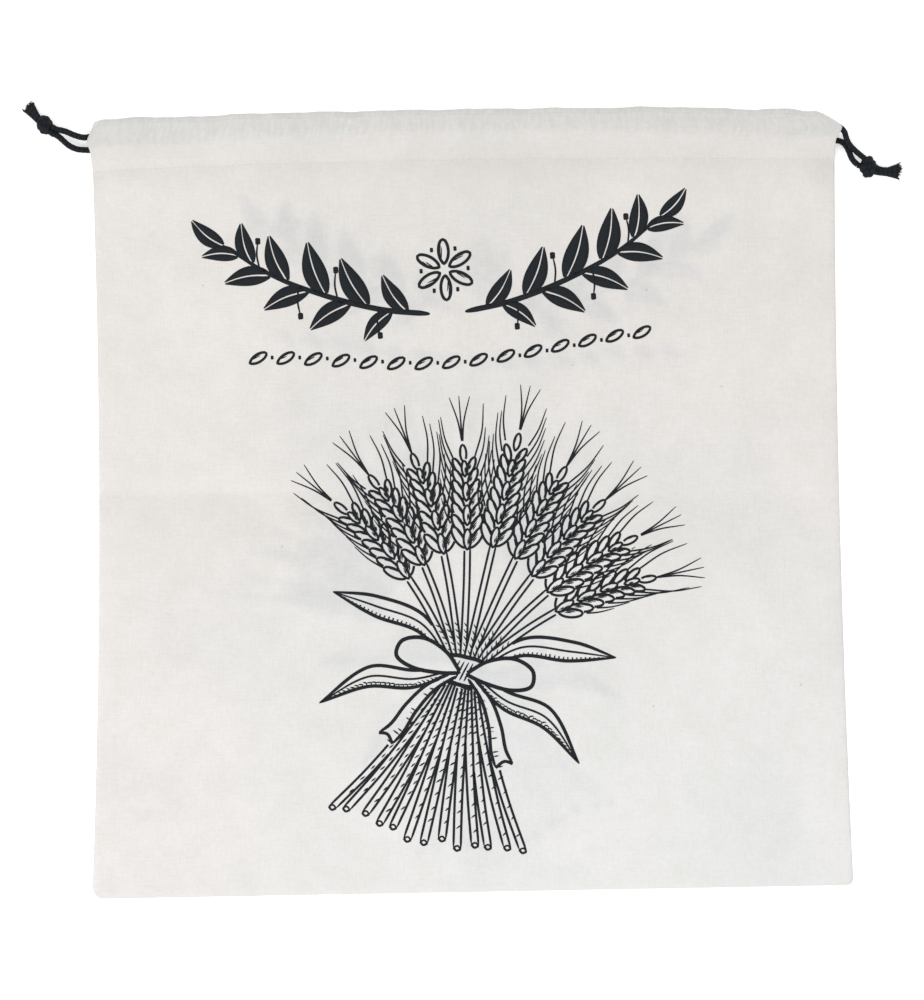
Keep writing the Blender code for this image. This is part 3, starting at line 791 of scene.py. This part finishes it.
def draw(points, width, start=0.15, end=0.35, thin=0.3, spacing=1.3):
    """Draw one stroke along smooth points. It swells from its start and thins towards its end."""
    line = flat_route(points, spacing)
    last = len(line) - 1
    run = []
    for i, point in enumerate(line):
        t = i / last
        swell = min(1.0, (t / start if start else 1.0), ((1 - t) / end if end else 1.0))
        if hidden(point.x, point.y):
            if len(run) > 1:
                drawing.append(run)
            run = []
        else:
            run.append((point.x, point.y, PEN_WEIGHT * width * mix(thin, 1.0, math.sqrt(max(swell, 0.0)))))
    if len(run) > 1:
        drawing.append(run)


def turned(x, y, angle, place):
    """A point of a small shape, turned by an angle and moved to its place."""
    c, s = math.cos(angle), math.sin(angle)
    return (place[0] + x * c - y * s, place[1] + x * s + y * c)


def lean_group(first, angle, about, shift):
    """Turn the strokes drawn since the first one, and move them, so that the layout isn't even-sided."""
    for i in range(first, len(drawing)):
        moved = []
        for x, y, width in drawing[i]:
            x, y = turned(x - about[0], y - about[1], math.radians(angle), about)
            moved.append((x + shift[0], y + shift[1], width))
        drawing[i] = moved


print("pen lines are drawn", PEN_WEIGHT, "times the weight given")

# %% [markdown]
# A leaf is painted with a brush: two fat strokes side by side, one for each half, with a thin bare line
# between them for the vein. Each half is full in its middle and ends in a point.

# %% The leafy branches
LEAF_SHAPE = 0.8
HALF_VEIN = 0.35


def draw_leaf(place, angle, length, width, bend):
    """A solid leaf in two halves, which curve round a bare vein."""
    for side in (1, -1):
        middle_line = []
        for t in (0.04, 0.18, 0.34, 0.5, 0.66, 0.82, 0.98):
            off = side * (width * 0.25 * math.sin(math.pi * t ** LEAF_SHAPE) + HALF_VEIN)
            middle_line.append(turned(t * length, off + bend * math.sin(math.pi * t), angle, place))
        line = flat_route(middle_line, 1.5)
        last = len(line) - 1
        drawing.append([
            (p.x, p.y, max(width * 0.5 * math.sin(math.pi * (0.04 + 0.92 * i / last) ** LEAF_SHAPE), 0.3))
            for i, p in enumerate(line)
        ])


BRANCH = ((9, 99), (34, 103), (62, 112), (88, 124), (112, 141))
# Each leaf: how far along the branch, the degrees it swings out, its length and its width.
LEAVES = (
    (0.10, 48, 24, 9.0), (0.17, -50, 22, 8.0), (0.28, 50, 28, 10.5), (0.36, -44, 25, 9.5),
    (0.47, 52, 30, 11.5), (0.55, -42, 27, 10.0), (0.66, 50, 27, 10.5), (0.74, -38, 25, 9.5),
    (0.84, 44, 22, 8.5), (0.91, -34, 20, 7.5), (1.0, 4, 21, 8.0),
)
for hand in (1, -1):
    stem = [(x * hand, y) for x, y in BRANCH]
    draw(stem, 2.4, start=0.05, end=0.6)
    line = flat_route(stem, 1.0)
    for t, swing, length, width in LEAVES:
        at = min(round(t * (len(line) - 1)), len(line) - 2)
        ahead = line[at + 1] - line[at]
        swing += pen.uniform(-5, 5)
        heading = math.atan2(ahead.y, ahead.x) + math.radians(swing) * hand
        size = pen.uniform(0.94, 1.06)
        bend = (-1.6 if swing > 0 else 1.6) * hand
        draw_leaf((line[at].x, line[at].y), heading, length * size, width * size, bend)
    for t, off in ((0.23, -13.5), (0.42, 15.0), (0.61, -15.0), (0.8, 14.0)):
        foot = line[round(t * (len(line) - 1))]
        x, y = foot.x, foot.y + off
        draw([(x, foot.y), (x + hand, mix(foot.y, y, 0.5)), (x, y)], 0.8)
        draw([(x - 1.3, y), (x + 1.3, y)], 2.9, thin=0.75, spacing=0.5)
print("strokes in the branches:", len(drawing))

# %% [markdown]
# Between the branches is a rosette of grains, and below them a row of grains with dots. A grain is a closed
# drop, drawn as an outline with a few hatching lines along its shaded side.

# %% Grains
def drop_outline(place, angle, length, width):
    steps = 14
    outline = []
    for i in range(steps):
        t = math.tau * i / steps
        x = length * (0.5 - 0.5 * math.cos(t))
        y = width / 2 * math.sin(t) * (1.12 - 0.35 * (x / length)) * math.sqrt(max(math.sin(t / 2), 0.0))
        outline.append(turned(x, y, angle, place))
    return outline


def draw_grain(place, angle, length, width, ink, hatches, shaded=1):
    """One grain: its outline, a crease and some hatching on its shaded side."""
    outline = drop_outline(place, angle, length, width)
    draw(outline + outline[:2], ink, start=0, end=0, spacing=1.2)
    for i in range(hatches):
        off = shaded * width * (0.36 - 0.15 * i)
        begin = length * (0.16 + 0.03 * i) * pen.uniform(0.8, 1.3)
        stop = length * (0.80 - 0.13 * i) * pen.uniform(0.85, 1.05)
        line = [turned(mix(begin, stop, t), off * (1 - 0.45 * t * t), angle, place) for t in (0, 0.5, 1)]
        draw(line, 0.62, start=0.1, end=0.6, spacing=1.4)
    cover(outline)


for i in range(6):
    angle = math.radians(90 + 60 * i)
    draw_grain(turned(3.0, 0, angle, (0, 121)), angle, 12.5, 6.4, 1.3, 2)
for i in range(6):
    spot = turned(12.0, 0, math.radians(60 + 60 * i), (0, 121))
    draw([(spot[0] - 0.8, spot[1]), (spot[0] + 0.8, spot[1])], 2.0, thin=0.8, spacing=0.4)
for i in range(15):
    x = -98 + 14 * i
    y = 78 - 4.5 * math.cos(math.pi * x / 110)
    draw_grain((x - 4.2, y - 2.2), math.radians(28), 9.8, 5.0, 1.15, 2)
    if i < 14:
        draw([(x + 6.6, y), (x + 8.0, y)], 1.7, thin=0.8, spacing=0.4)

lean_group(0, 3.0, (0, 110), (-9, -3))

# %% [markdown]
# The sheaf is nine ears of wheat on their straws, tied in the middle. The band and its bow are in front, the
# middle ear comes next, and each ear further out lies behind its neighbour. Long awns, leaves and hatching
# give it the look of a pen drawing.

# %% The band and bow
sheaf_starts = len(drawing)
covered.clear()
TIE = (0.0, -86.0)


def from_tie(points, side=1, angle=0):
    """Points that are given from the middle of the band, mirrored for the left side, and turned."""
    return [turned(x * side, y, angle, TIE) for x, y in points]


for side in (1, -1):
    loop = from_tie(
        ((2, 0), (10, 9), (22, 14.5), (33, 12), (35, 4), (26, -1), (13, -2), (3, -1)),
        side, math.radians(-6 * side))
    draw(loop + loop[:1], 1.7, start=0, end=0)
    cover(loop)
    for i in range(9):
        x = 8 + 2.6 * i
        draw(from_tie(((x, 2.6), (x + 2.2, 5.4 + 0.35 * i)), side), 0.75)
    tail = from_tie(((3, -3), (12, -12), (19, -25), (23, -37), (27, -44)), side)
    other = from_tie(((6, -2), (17, -11), (25, -23), (30, -34), (35, -40)), side)
    for edge in (tail, other):
        draw(edge, 1.5, start=0.05, end=0.1)
    notch = (mix(tail[-1][0], other[-1][0], 0.45), tail[-1][1] + 4.2)
    draw([tail[-1], notch, other[-1]], 1.4, start=0, end=0)
    for i in range(12):
        down = (0.12 + 0.07 * i) * 4
        at = round(down)
        a, b = [
            Vector(edge[min(at, 4)]).lerp(Vector(edge[min(at + 1, 4)]), max(down - at, 0))
            for edge in (tail, other)
        ]
        draw([tuple(a.lerp(b, 0.08)), tuple(a.lerp(b, pen.uniform(0.35, 0.6)))], 0.7)
    cover(tail + other[::-1])
band = from_tie(((-8, -6), (0, -7), (8, -6), (9.5, 0), (8, 6.5), (0, 7.5), (-8, 6.5), (-9.5, 0)))
draw(band + band[:2], 1.8, start=0, end=0)
for i in range(7):
    x = -6.8 + 2.3 * i
    draw(from_tie(((x - 1.2, -4.8), (x, 0), (x + 1.4, 5.2))), 0.8)
cover(band)
print("strokes in the bow:", len(drawing) - sheaf_starts)

# %% The ears, straws and leaves
EARS = ((0, 61), (-1, 58), (1, 59), (-2, 56), (2, 55), (-3, 52), (3, 53), (-4, 48), (4, 49))
EAR_SWING = 11.5
GRAIN_STEP = 6.2


def bent(index, distance):
    """A point and heading on a straw that leans out more and more towards its ear."""
    lean = math.radians(EAR_SWING * index)
    sag = lean * 0.30 * (distance / 110) ** 2
    angle = math.pi / 2 - lean * 0.86 - sag
    start = (TIE[0] + index * 1.6, TIE[1] + 5)
    return (start[0] + distance * math.cos(angle), start[1] + distance * math.sin(angle)), angle - sag * 1.6


def draw_ear(index, base, length):
    pairs = int(length / GRAIN_STEP)
    for k in range(pairs):
        place, heading = bent(index, base + GRAIN_STEP * k)
        size = 1.0 - 0.32 * (k / pairs) ** 2
        if k % 2 == 0:
            draw_grain(turned(-1.0, 0, heading, place), heading, 10.5 * size, 4.9 * size, 1.0, 3, -1)
        for side in (1, -1):
            angle = heading + side * math.radians(31 - 7 * k / pairs)
            start = turned(0, side * 1.5, heading, place)
            heavy = 3 if side < 0 else 1
            draw_grain(start, angle, 12.2 * size, 5.4 * size, 1.1, heavy, -side)
            tip = turned(12.2 * size, 0, angle, start)
            reach = (19 + 9 * k / pairs) * pen.uniform(0.8, 1.1)
            awn = [turned(reach * t, side * 1.8 * t * t, angle - side * 0.28 * t, tip) for t in (0, 0.5, 1)]
            draw(awn, 0.75, start=0, end=0.8, thin=0.35, spacing=2.0)
    place, heading = bent(index, base + GRAIN_STEP * pairs)
    draw_grain(place, heading, 9.0, 4.0, 1.0, 1)
    for swing in (-0.22, 0.0, 0.2):
        tip = turned(9.0, 0, heading, place)
        draw([tip, turned(12, 0, heading + swing * 0.6, tip), turned(25, 0, heading + swing, tip)], 0.75,
             start=0, end=0.8, thin=0.35, spacing=2.0)


for index, base in EARS:
    draw_ear(index, base, 50 - abs(index) * 1.2)
for index, base in EARS:
    edges = []
    for side in (1, -1):
        edge = []
        for distance in (0, base * 0.35, base * 0.7, base + 2):
            place, heading = bent(index, distance)
            edge.append(turned(0, side * 1.45, heading, place))
        edges.append(edge)
    for edge in edges:
        draw(edge, 0.95, start=0, end=0.1, spacing=1.8)
    for i in range(5):
        place, heading = bent(index, 4 + i * 3.4)
        draw([turned(0, -1.2, heading, place), turned(2.2, 0.3, heading, place)], 0.6)
    cover(edges[0] + edges[1][::-1])

STRAWS = 13
for i in sorted(range(STRAWS), key=lambda i: abs(i - STRAWS // 2)):
    spread = (i - STRAWS // 2) / (STRAWS // 2)
    top = (TIE[0] + spread * 8.0, TIE[1] - 5)
    low_x = TIE[0] + spread * (50 + pen.uniform(-2, 2))
    low = (low_x, TIE[1] - 88 + 9 * spread * spread + pen.uniform(-4, 4))
    edges = []
    for side in (1, -1):
        off = side * 1.9
        edges.append([
            (top[0] + off * 0.6, top[1]), (mix(top[0], low[0], 0.30) + off, mix(top[1], low[1], 0.35)),
            (mix(top[0], low[0], 0.65) + off, mix(top[1], low[1], 0.7)), (low[0] + off, low[1])])
    for edge in edges:
        draw(edge, 1.05, start=0, end=0.05, spacing=1.8)
    for lift, weight in ((-1.3, 1.0), (1.3, 0.8)):
        draw([edges[0][-1], (low[0], low[1] + lift), edges[1][-1]], weight, start=0, end=0, spacing=0.8)
    shade_from = 0.02
    while shade_from < 0.9:
        t = shade_from
        x = mix(top[0], low[0], t * (0.9 + 0.1 * t)) + 1.6
        y = mix(top[1], low[1], t)
        draw([(x, y), (x - pen.uniform(1.2, 2.4), y - 2.4)], 0.72)
        shade_from += pen.uniform(0.025, 0.04) * (1 + 2.2 * shade_from)
    cover(edges[0] + edges[1][::-1])

for side in (1, -1):
    for lift, reach, drop in ((26, 74, -4), (-14, 68, -52)):
        tip = (reach, lift + drop * 0.35)
        upper = from_tie(((5, 2), (reach * 0.35, lift * 0.7 + 5), (reach * 0.7, lift * 0.9 + 4), tip), side)
        lower = from_tie(((5, -2), (reach * 0.35, lift * 0.7 - 4), (reach * 0.68, lift * 0.9 - 6), tip), side)
        for edge in (upper, lower):
            draw(edge, 1.5, start=0, end=0.2)
        middle_line = [tuple(Vector(a).lerp(Vector(b), 0.5)) for a, b in zip(upper, lower)]
        draw(middle_line, 0.9, start=0, end=0.3)
        for a, b in list(zip(flat_route(middle_line, 2.3), flat_route(lower, 2.3)))[2:-3]:
            stop = a.lerp(b, pen.uniform(0.45, 0.9))
            bend = (mix(b.x, stop.x, 0.5), mix(b.y, a.y, 0.4))
            draw([(b.x, b.y), bend, (mix(b.x, a.x, 0.6) + side, stop.y)], 0.7)
        cover(upper + lower[::-1])
lean_group(sheaf_starts, -14.0, TIE, (-3, -1))
print("strokes in all:", len(drawing), "points:", sum(len(run) for run in drawing))

# %% [markdown]
# ## The cotton
# Unbleached cotton in plain weave: each thread passes over one and under the next, and thicker places in the
# yarn, called slubs, make short streaks both ways. The cloth is thin, so what is under it shows as a faint
# cool shade: the cords and hem in the channel, and the drawing on the other panel. Three attributes on the
# cloth's points say how much: "shade" for the channel, "ghost" for the drawing, and a third for painted
# shade, which makes the cloth darker and warmer from just above the seam to below it, and below the pressed
# crease.

# %% Measure the cloth in its own flat millimetres
cotton, cotton_shader = new_material("unbleached_plain_weave_cotton", 0.92, sheen=0.05, specular=0.25)
cotton_uv = add_node(cotton, "ShaderNodeUVMap", {"uv_map": "UVMap"}).outputs["UV"]
flat = add_node(
    cotton, "ShaderNodeVectorMath", {"operation": "SCALE"}, Vector=cotton_uv, Scale=UV_SIZE).outputs["Vector"]
flat_place = add_node(cotton, "ShaderNodeSeparateXYZ", Vector=flat)
print("mm of cloth for each unit of the map:", UV_SIZE)

# %% [markdown]
# The real threads are about half a millimetre apart, which is one pixel here and too fine to show. They are
# drawn a little coarser, and the slubs on them are what the eye sees: short streaks along and across.

# %% Weave the threads and the slubs
THREAD = 1.15
SLUB_LENGTH, SLUB_WIDTH = 6.5, 1.15
waves = []
for axis in ("X", "Y"):
    turns = add_node(
        cotton, "ShaderNodeMath", {"operation": "MULTIPLY"}, _0=flat_place.outputs[axis], _1=math.pi / THREAD)
    waves.append(add_node(cotton, "ShaderNodeMath", {"operation": "SINE"}, _0=turns.outputs[0]).outputs[0])
crossings = add_node(cotton, "ShaderNodeMath", {"operation": "MULTIPLY"}, _0=waves[0], _1=waves[1])
slubs = []
for stretch in ((1 / SLUB_WIDTH, 1 / SLUB_LENGTH, 1.0), (1 / SLUB_LENGTH, 1 / SLUB_WIDTH, 1.0)):
    drawn_out = add_node(cotton, "ShaderNodeVectorMath", {"operation": "MULTIPLY"}, _0=flat, _1=stretch)
    slubs.append(add_node(
        cotton, "ShaderNodeTexNoise", {"noise_dimensions": "2D"},
        Vector=drawn_out.outputs["Vector"], Scale=1.0, Detail=2.0, Roughness=0.55).outputs["Fac"])
streaks = add_node(cotton, "ShaderNodeMath", {"operation": "ADD"}, _0=slubs[0], _1=slubs[1]).outputs[0]
threads = add_node(
    cotton, "ShaderNodeMath", {"operation": "MULTIPLY_ADD"}, _0=crossings.outputs[0], _1=0.12, _2=streaks)
cotton_bump = add_node(
    cotton, "ShaderNodeBump", Strength=0.8, Distance=0.00022, Height=threads.outputs[0])
cotton.node_tree.links.new(cotton_bump.outputs["Normal"], cotton_shader.inputs["Normal"])
print("thread pitch, mm:", THREAD, " slubs, mm:", SLUB_WIDTH, "x", SLUB_LENGTH)

# %% [markdown]
# The cotton is painted lighter and greyer, almost grey, towards the bottom and the left, and darker and
# warmer near the mouth, as painted light. Over that lie soft patches of many sizes, the slubs, the channel's
# shade with upright streaks of painted shade from its gathers, the ghost of the far drawing, painted shade
# below the seam and the crease, and a few brown specks of seed husk. Each of them is multiplied over the
# last, as thin shades are.

# %% Colour the cotton
PATCHES = ((75.0, 1.0, "FAFBFB"), (13.0, 3.0, "FBFBFA"), (2.4, 3.0, "FCFCFC"))
STREAK_WIDTH, STREAK_LENGTH = 2.0, 7.0
SPECK_CELL, SPECK_SIZE, SPECK_SHARE = 38, 0.016, 0.04
# Painted light: the cotton is lighter and greyer towards the bottom and the left, and darker and warmer near
# the mouth.
rightward = add_node(
    cotton, "ShaderNodeMapRange",
    Value=flat_place.outputs["X"], From_Min=80.0, From_Max=260.0).outputs["Result"]
upward = add_node(
    cotton, "ShaderNodeMapRange", {"interpolation_type": "SMOOTHSTEP"},
    Value=flat_place.outputs["Y"], From_Min=0.0, From_Max=320.0).outputs["Result"]
painted_light_low_and_high = []
for left, right in (("E9E5E3", "E8E7E6"), ("E7E3E0", "E5E1DE")):
    painted_light_low_and_high.append(add_node(
        cotton, "ShaderNodeMix", {"data_type": "RGBA"},
        Factor=rightward, _6=linear(left), _7=linear(right)).outputs[2])
cotton_colour = add_node(
    cotton, "ShaderNodeMix", {"data_type": "RGBA"},
    Factor=upward, _6=painted_light_low_and_high[0], _7=painted_light_low_and_high[1]).outputs[2]

shades = []
for patch_size, patch_detail, patch_colour in PATCHES:
    patches = add_node(
        cotton, "ShaderNodeTexNoise", {"noise_dimensions": "2D"},
        Vector=flat, Scale=1 / patch_size, Detail=patch_detail, Roughness=0.55)
    patch_level = add_node(
        cotton, "ShaderNodeMapRange", Value=patches.outputs["Fac"], From_Min=0.3, From_Max=0.7)
    shades.append((patch_level.outputs["Result"], patch_colour))
slub_level = add_node(cotton, "ShaderNodeMapRange", Value=streaks, From_Min=1.22, From_Max=0.78)
shades.append((slub_level.outputs["Result"], "FCFCFB"))

# The upright streaks in the channel are painted shade of its small gathers, laid over the shade of what lies
# under the cloth.
upright = add_node(
    cotton, "ShaderNodeVectorMath", {"operation": "MULTIPLY"},
    _0=flat, _1=(1 / STREAK_WIDTH, 1 / STREAK_LENGTH, 1.0))
gather_shade_streaks = add_node(
    cotton, "ShaderNodeTexNoise", {"noise_dimensions": "2D"},
    Vector=upright.outputs["Vector"], Scale=1.0, Detail=3.0, Roughness=0.6)
gather_shade_level = add_node(
    cotton, "ShaderNodeMath", {"operation": "MULTIPLY_ADD"}, _0=gather_shade_streaks.outputs["Fac"], _1=1.35, _2=0.025)
channel_shade = add_node(cotton, "ShaderNodeAttribute", {"attribute_name": "shade"})
uneven_shade = add_node(
    cotton, "ShaderNodeMath", {"operation": "MULTIPLY"},
    _0=channel_shade.outputs["Fac"], _1=gather_shade_level.outputs[0])
shades += [(channel_shade.outputs["Fac"], "FDFFFF"), (uneven_shade.outputs[0], "F0F1F2")]
# The ghost is the far drawing showing through. The second is painted shade, darker and warmer, at the seam
# and below the crease.
for attribute, tint in (("ghost", "ECF0F4"), ("warm", "F0EEEB")):
    amount = add_node(cotton, "ShaderNodeAttribute", {"attribute_name": attribute})
    shades.append((amount.outputs["Fac"], tint))

cells = add_node(
    cotton, "ShaderNodeTexVoronoi", {"voronoi_dimensions": "2D"},
    Vector=flat, Scale=1 / SPECK_CELL, Randomness=1.0)
speck = add_node(
    cotton, "ShaderNodeMath", {"operation": "LESS_THAN"}, _0=cells.outputs["Distance"], _1=SPECK_SIZE)
cell_draw = add_node(cotton, "ShaderNodeSeparateColor", Color=cells.outputs["Color"])
drawn = add_node(
    cotton, "ShaderNodeMath", {"operation": "LESS_THAN"}, _0=cell_draw.outputs["Red"], _1=SPECK_SHARE)
few_specks = add_node(
    cotton, "ShaderNodeMath", {"operation": "MULTIPLY"}, _0=speck.outputs[0], _1=drawn.outputs[0])
shades.append((few_specks.outputs[0], "ECE8E1"))

for shade_level, shade_colour in shades:
    cotton_colour = add_node(
        cotton, "ShaderNodeMix", {"data_type": "RGBA", "blend_type": "MULTIPLY"},
        Factor=shade_level, _6=cotton_colour, _7=linear(shade_colour)).outputs[2]
cotton.node_tree.links.new(cotton_colour, cotton_shader.inputs["Base Color"])
print("shades laid over the cotton:", len(shades))

# %% Make the panels
back_cloth = make_strip("back_cloth", BACK_STRIP, cotton)
front_cloth = make_strip("front_cloth", FRONT_STRIP, cotton)
for panel, cloth in (("back_panel", back_cloth), ("front_panel", front_cloth)):
    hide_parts(panel)
print("faces:", len(front_cloth.data.polygons), len(back_cloth.data.polygons))

# %% [markdown]
# The ghost of the drawing is worked out on a grid with a step of one millimetre: ink is dropped at each
# point of each stroke and blurred, as light blurs in the cloth. The value at each point of the cloth is then
# read from the grid.

# %% Let the far side's drawing and the channel show through
GRID = 440
GHOST_BLUR = 1.5
GHOST_REACH = 5
GHOST_CEILING = 1.2
GHOST_STRENGTH = 1.15
CREASE_Y = 3.6
CREASE_TILT = -0.018


def fade(distance, width):
    """From 1 down to 0 as the distance, in mm, passes zero."""
    return 1 / (1 + np.exp(distance / width))


def blurred_ink(mirrored):
    grid = np.zeros((GRID, GRID))
    for run in drawing:
        for (ax, ay, _), (x, y, width) in zip(run, run[1:]):
            ink = width * math.hypot(x - ax, y - ay)
            parts = max(int(width), 1)
            for i in range(parts):
                off = (i + 0.5) / parts * width - width / 2
                column = int(GRID / 2 + (-x if mirrored else x) + off)
                grid[int(GRID / 2 + y), column] += ink / parts
    grid = np.minimum(grid, GHOST_CEILING)
    weights = np.exp(-0.5 * (np.arange(-GHOST_REACH, GHOST_REACH + 1) / GHOST_BLUR) ** 2)
    weights /= weights.sum()
    for axis in (0, 1):
        grid = sum(w * np.roll(grid, k - GHOST_REACH, axis=axis) for k, w in enumerate(weights))
    return np.clip(grid * GHOST_STRENGTH, 0.0, 1.0)


def show_through_and_painted_shade(cloth, mirrored):
    grid = blurred_ink(mirrored)
    places = np.empty(len(cloth.data.vertices) * 3)
    cloth.data.vertices.foreach_get("co", places)
    x, y, _ = (places.reshape(-1, 3) / MM).T
    column = np.clip(x + GRID / 2 - 0.5, 0, GRID - 2)
    row = np.clip(y + GRID / 2 - 0.5, 0, GRID - 2)
    c, r = column.astype(int), row.astype(int)
    u, v = column - c, row - r
    ghost = (grid[r, c] * (1 - u) + grid[r, c + 1] * u) * (1 - v) + (
        grid[r + 1, c] * (1 - u) + grid[r + 1, c + 1] * u) * v
    # The channel's shade ends behind the cords. A thin line marks the seam, and a broad faint patch the body.
    depth = TOP_Y + TOP_CROWN * (1 - (x / HALF_WIDTH) ** 2) - y
    band_edge = 11.6 + 2.6 * (x / HALF_WIDTH) ** 2
    band = fade(depth - band_edge, 0.6) + 0.1 * fade(depth - 18.0, 1.6)
    seam_line = 0.16 * np.exp(-((depth - 27.0) / 1.8) ** 2)
    patch = 0.22 * np.exp(-((x - 25) / 105) ** 2 - ((y - 85) / 110) ** 2)
    # Painted shade, darker and warmer, lies from just above the seam to below it, and again below the pressed
    # crease, more at the left.
    below = CREASE_Y + CREASE_TILT * x - y
    towards_left = 0.3 + 0.7 * fade(x + 60, 40)
    warm = 0.46 * fade(19.5 - depth, 1.2) * fade(depth - 36.0, 6.0)
    warm += 0.4 * towards_left * fade(-below, 0.9) * np.exp(-(np.maximum(below, 0) / 34) ** 2)
    for name, amount in (("ghost", ghost), ("shade", band + seam_line + patch), ("warm", warm)):
        attribute = cloth.data.attributes.new(name, "FLOAT", "POINT")
        attribute.data.foreach_set("value", amount.astype(np.float32))
    print(cloth.name, "points toned:", len(x))


show_through_and_painted_shade(front_cloth, True)
show_through_and_painted_shade(back_cloth, False)

# %% [markdown]
# ## Stitches
# One row of lockstitch holds the channel, in white cotton thread, with a stitch each 3 mm. The thread is
# spun and matt, and close to the cloth in colour, so the eye gets only a faint row of small dashes. A stitch
# is a short round tube that rises a little from the cloth and dips in at its ends. It is laid on the
# finished cloth: a ray sent down finds the height of the cloth at each place.

# %% Find the surface of a cloth
def surface_of(cloth):
    return BVHTree.FromObject(cloth, bpy.context.evaluated_depsgraph_get())


def surface_height(surface, x, y, outside):
    start = Vector((x * MM, y * MM, outside * 0.03))
    hit = surface.ray_cast(start, Vector((0, 0, -outside)))[0]
    return hit.z / MM if hit else None


surfaces = {1: surface_of(front_cloth), -1: surface_of(back_cloth)}
print("front face in the middle, mm:", round(surface_height(surfaces[1], 0, 0, 1), 2))

# %% Sew the channel
STITCHES_FROM, STITCHES_TO = -187.0, 188
STITCH_STEP = 3.0
STITCH_LENGTH = 2.4
THREAD_WIDTH = 0.27
SEAM_DEPTH = 25.9
thread_material, thread_shader = new_material("white_cotton_sewing_thread", 0.7, sheen=0.1)
thread_twist = add_node(
    thread_material, "ShaderNodeTexNoise", Scale=1500.0, Detail=2.0,
    Vector=add_node(thread_material, "ShaderNodeTexCoord").outputs["Object"])
thread_colour = add_node(
    thread_material, "ShaderNodeMix", {"data_type": "RGBA"},
    Factor=thread_twist.outputs["Fac"], _6=linear("DAD7D2"), _7=linear("E6E3DF"))
thread_material.node_tree.links.new(thread_colour.outputs[2], thread_shader.inputs["Base Color"])

for outside, name in ((1, "front_stitches"), (-1, "back_stitches")):
    stitch_bm = bmesh.new()
    x = STITCHES_FROM
    while x < STITCHES_TO:
        y_at = crown(x / HALF_WIDTH) - SEAM_DEPTH + 0.12 * math.sin(x * 0.21)
        stitch = []
        for t in (0.0, 0.2, 0.5, 0.8, 1.0):
            height = surface_height(surfaces[outside], x + STITCH_LENGTH * t, y_at, outside)
            if height is not None:
                lift = THREAD_WIDTH * (0.26 - 1.0 * (t - 0.5) ** 2) * (1 if outside > 0 else -0.1)
                stitch.append(Vector((x + STITCH_LENGTH * t, y_at, height + outside * lift)))
        if len(stitch) == 5:
            width = THREAD_WIDTH / 2 * (1 if outside > 0 else 0.34)
            add_tube(stitch_bm, stitch, [width * w for w in (0.55, 0.95, 1, 0.95, 0.55)], sides=6, relief=0)
        x += STITCH_STEP
    bmesh.ops.recalc_face_normals(stitch_bm, faces=stitch_bm.faces[:])
    stitches = finish_piece(name, stitch_bm, thread_material)
    print(name, "faces:", len(stitches.data.polygons))

# %% [markdown]
# ## The ink
# Screen-printing ink lies on the threads as a thin matt film, blue-black, and the weave shows through it.
# Each stroke becomes a ribbon: a narrow grid laid along the stroke, its points dropped on the cloth.

# %% Print the drawing
INK_RISE = 0.05
INK_FILM = 0.05
RIBBON_CELL = 2.4
ink, ink_shader = new_material("screen_printed_black_ink", 0.85, specular=0.15)
ink_place = add_node(ink, "ShaderNodeTexCoord").outputs["Object"]
ink_patches = add_node(ink, "ShaderNodeTexNoise", Vector=ink_place, Scale=700.0, Detail=3.0, Roughness=0.65)
ink_colour = add_node(
    ink, "ShaderNodeMix", {"data_type": "RGBA"},
    Factor=ink_patches.outputs["Fac"], _6=linear("1B1F23"), _7=linear("282B2F"))
ink_bump = add_node(ink, "ShaderNodeBump", Strength=0.35, Distance=0.0001, Height=ink_patches.outputs["Fac"])
ink.node_tree.links.new(ink_colour.outputs[2], ink_shader.inputs["Base Color"])
ink.node_tree.links.new(ink_bump.outputs["Normal"], ink_shader.inputs["Normal"])


def print_on(name, outside):
    """Lay every stroke on the cloth's outer face. The far panel's drawing faces the other way."""
    bm = bmesh.new()
    for run in drawing:
        across_steps = max(1, round(max(point[2] for point in run) / RIBBON_CELL))
        made = bmesh.ops.create_grid(bm, x_segments=across_steps, y_segments=len(run) - 1, size=0.5)["verts"]
        for vert in made:
            i = round((vert.co.y + 0.5) * (len(run) - 1))
            x, y, width = run[i]
            before, after = run[max(i - 1, 0)], run[min(i + 1, len(run) - 1)]
            run_x, run_y = after[0] - before[0], after[1] - before[1]
            span = math.hypot(run_x, run_y) or 1.0
            off = vert.co.x * width
            x, y = x + run_y / span * off, y - run_x / span * off
            if outside < 0:
                x = -x
            height = surface_height(surfaces[outside], x, y, outside)
            vert.co = Vector((x, y, height + outside * INK_RISE * (1 if outside > 0 else 0.3))) * MM
    turned_in = [face for face in bm.faces if face.normal.z * outside < 0]
    bmesh.ops.reverse_faces(bm, faces=turned_in)
    piece = finish_piece(name, bm, ink)
    film = piece.modifiers.new("ink_film", "SOLIDIFY")
    film.thickness = INK_FILM * MM * (1 if outside > 0 else 0.4)
    film.offset = -1.0 if outside < 0 else 1.0
    print(name, "faces:", len(piece.data.polygons))


print_on("front_print", 1)
print_on("back_print", -1)
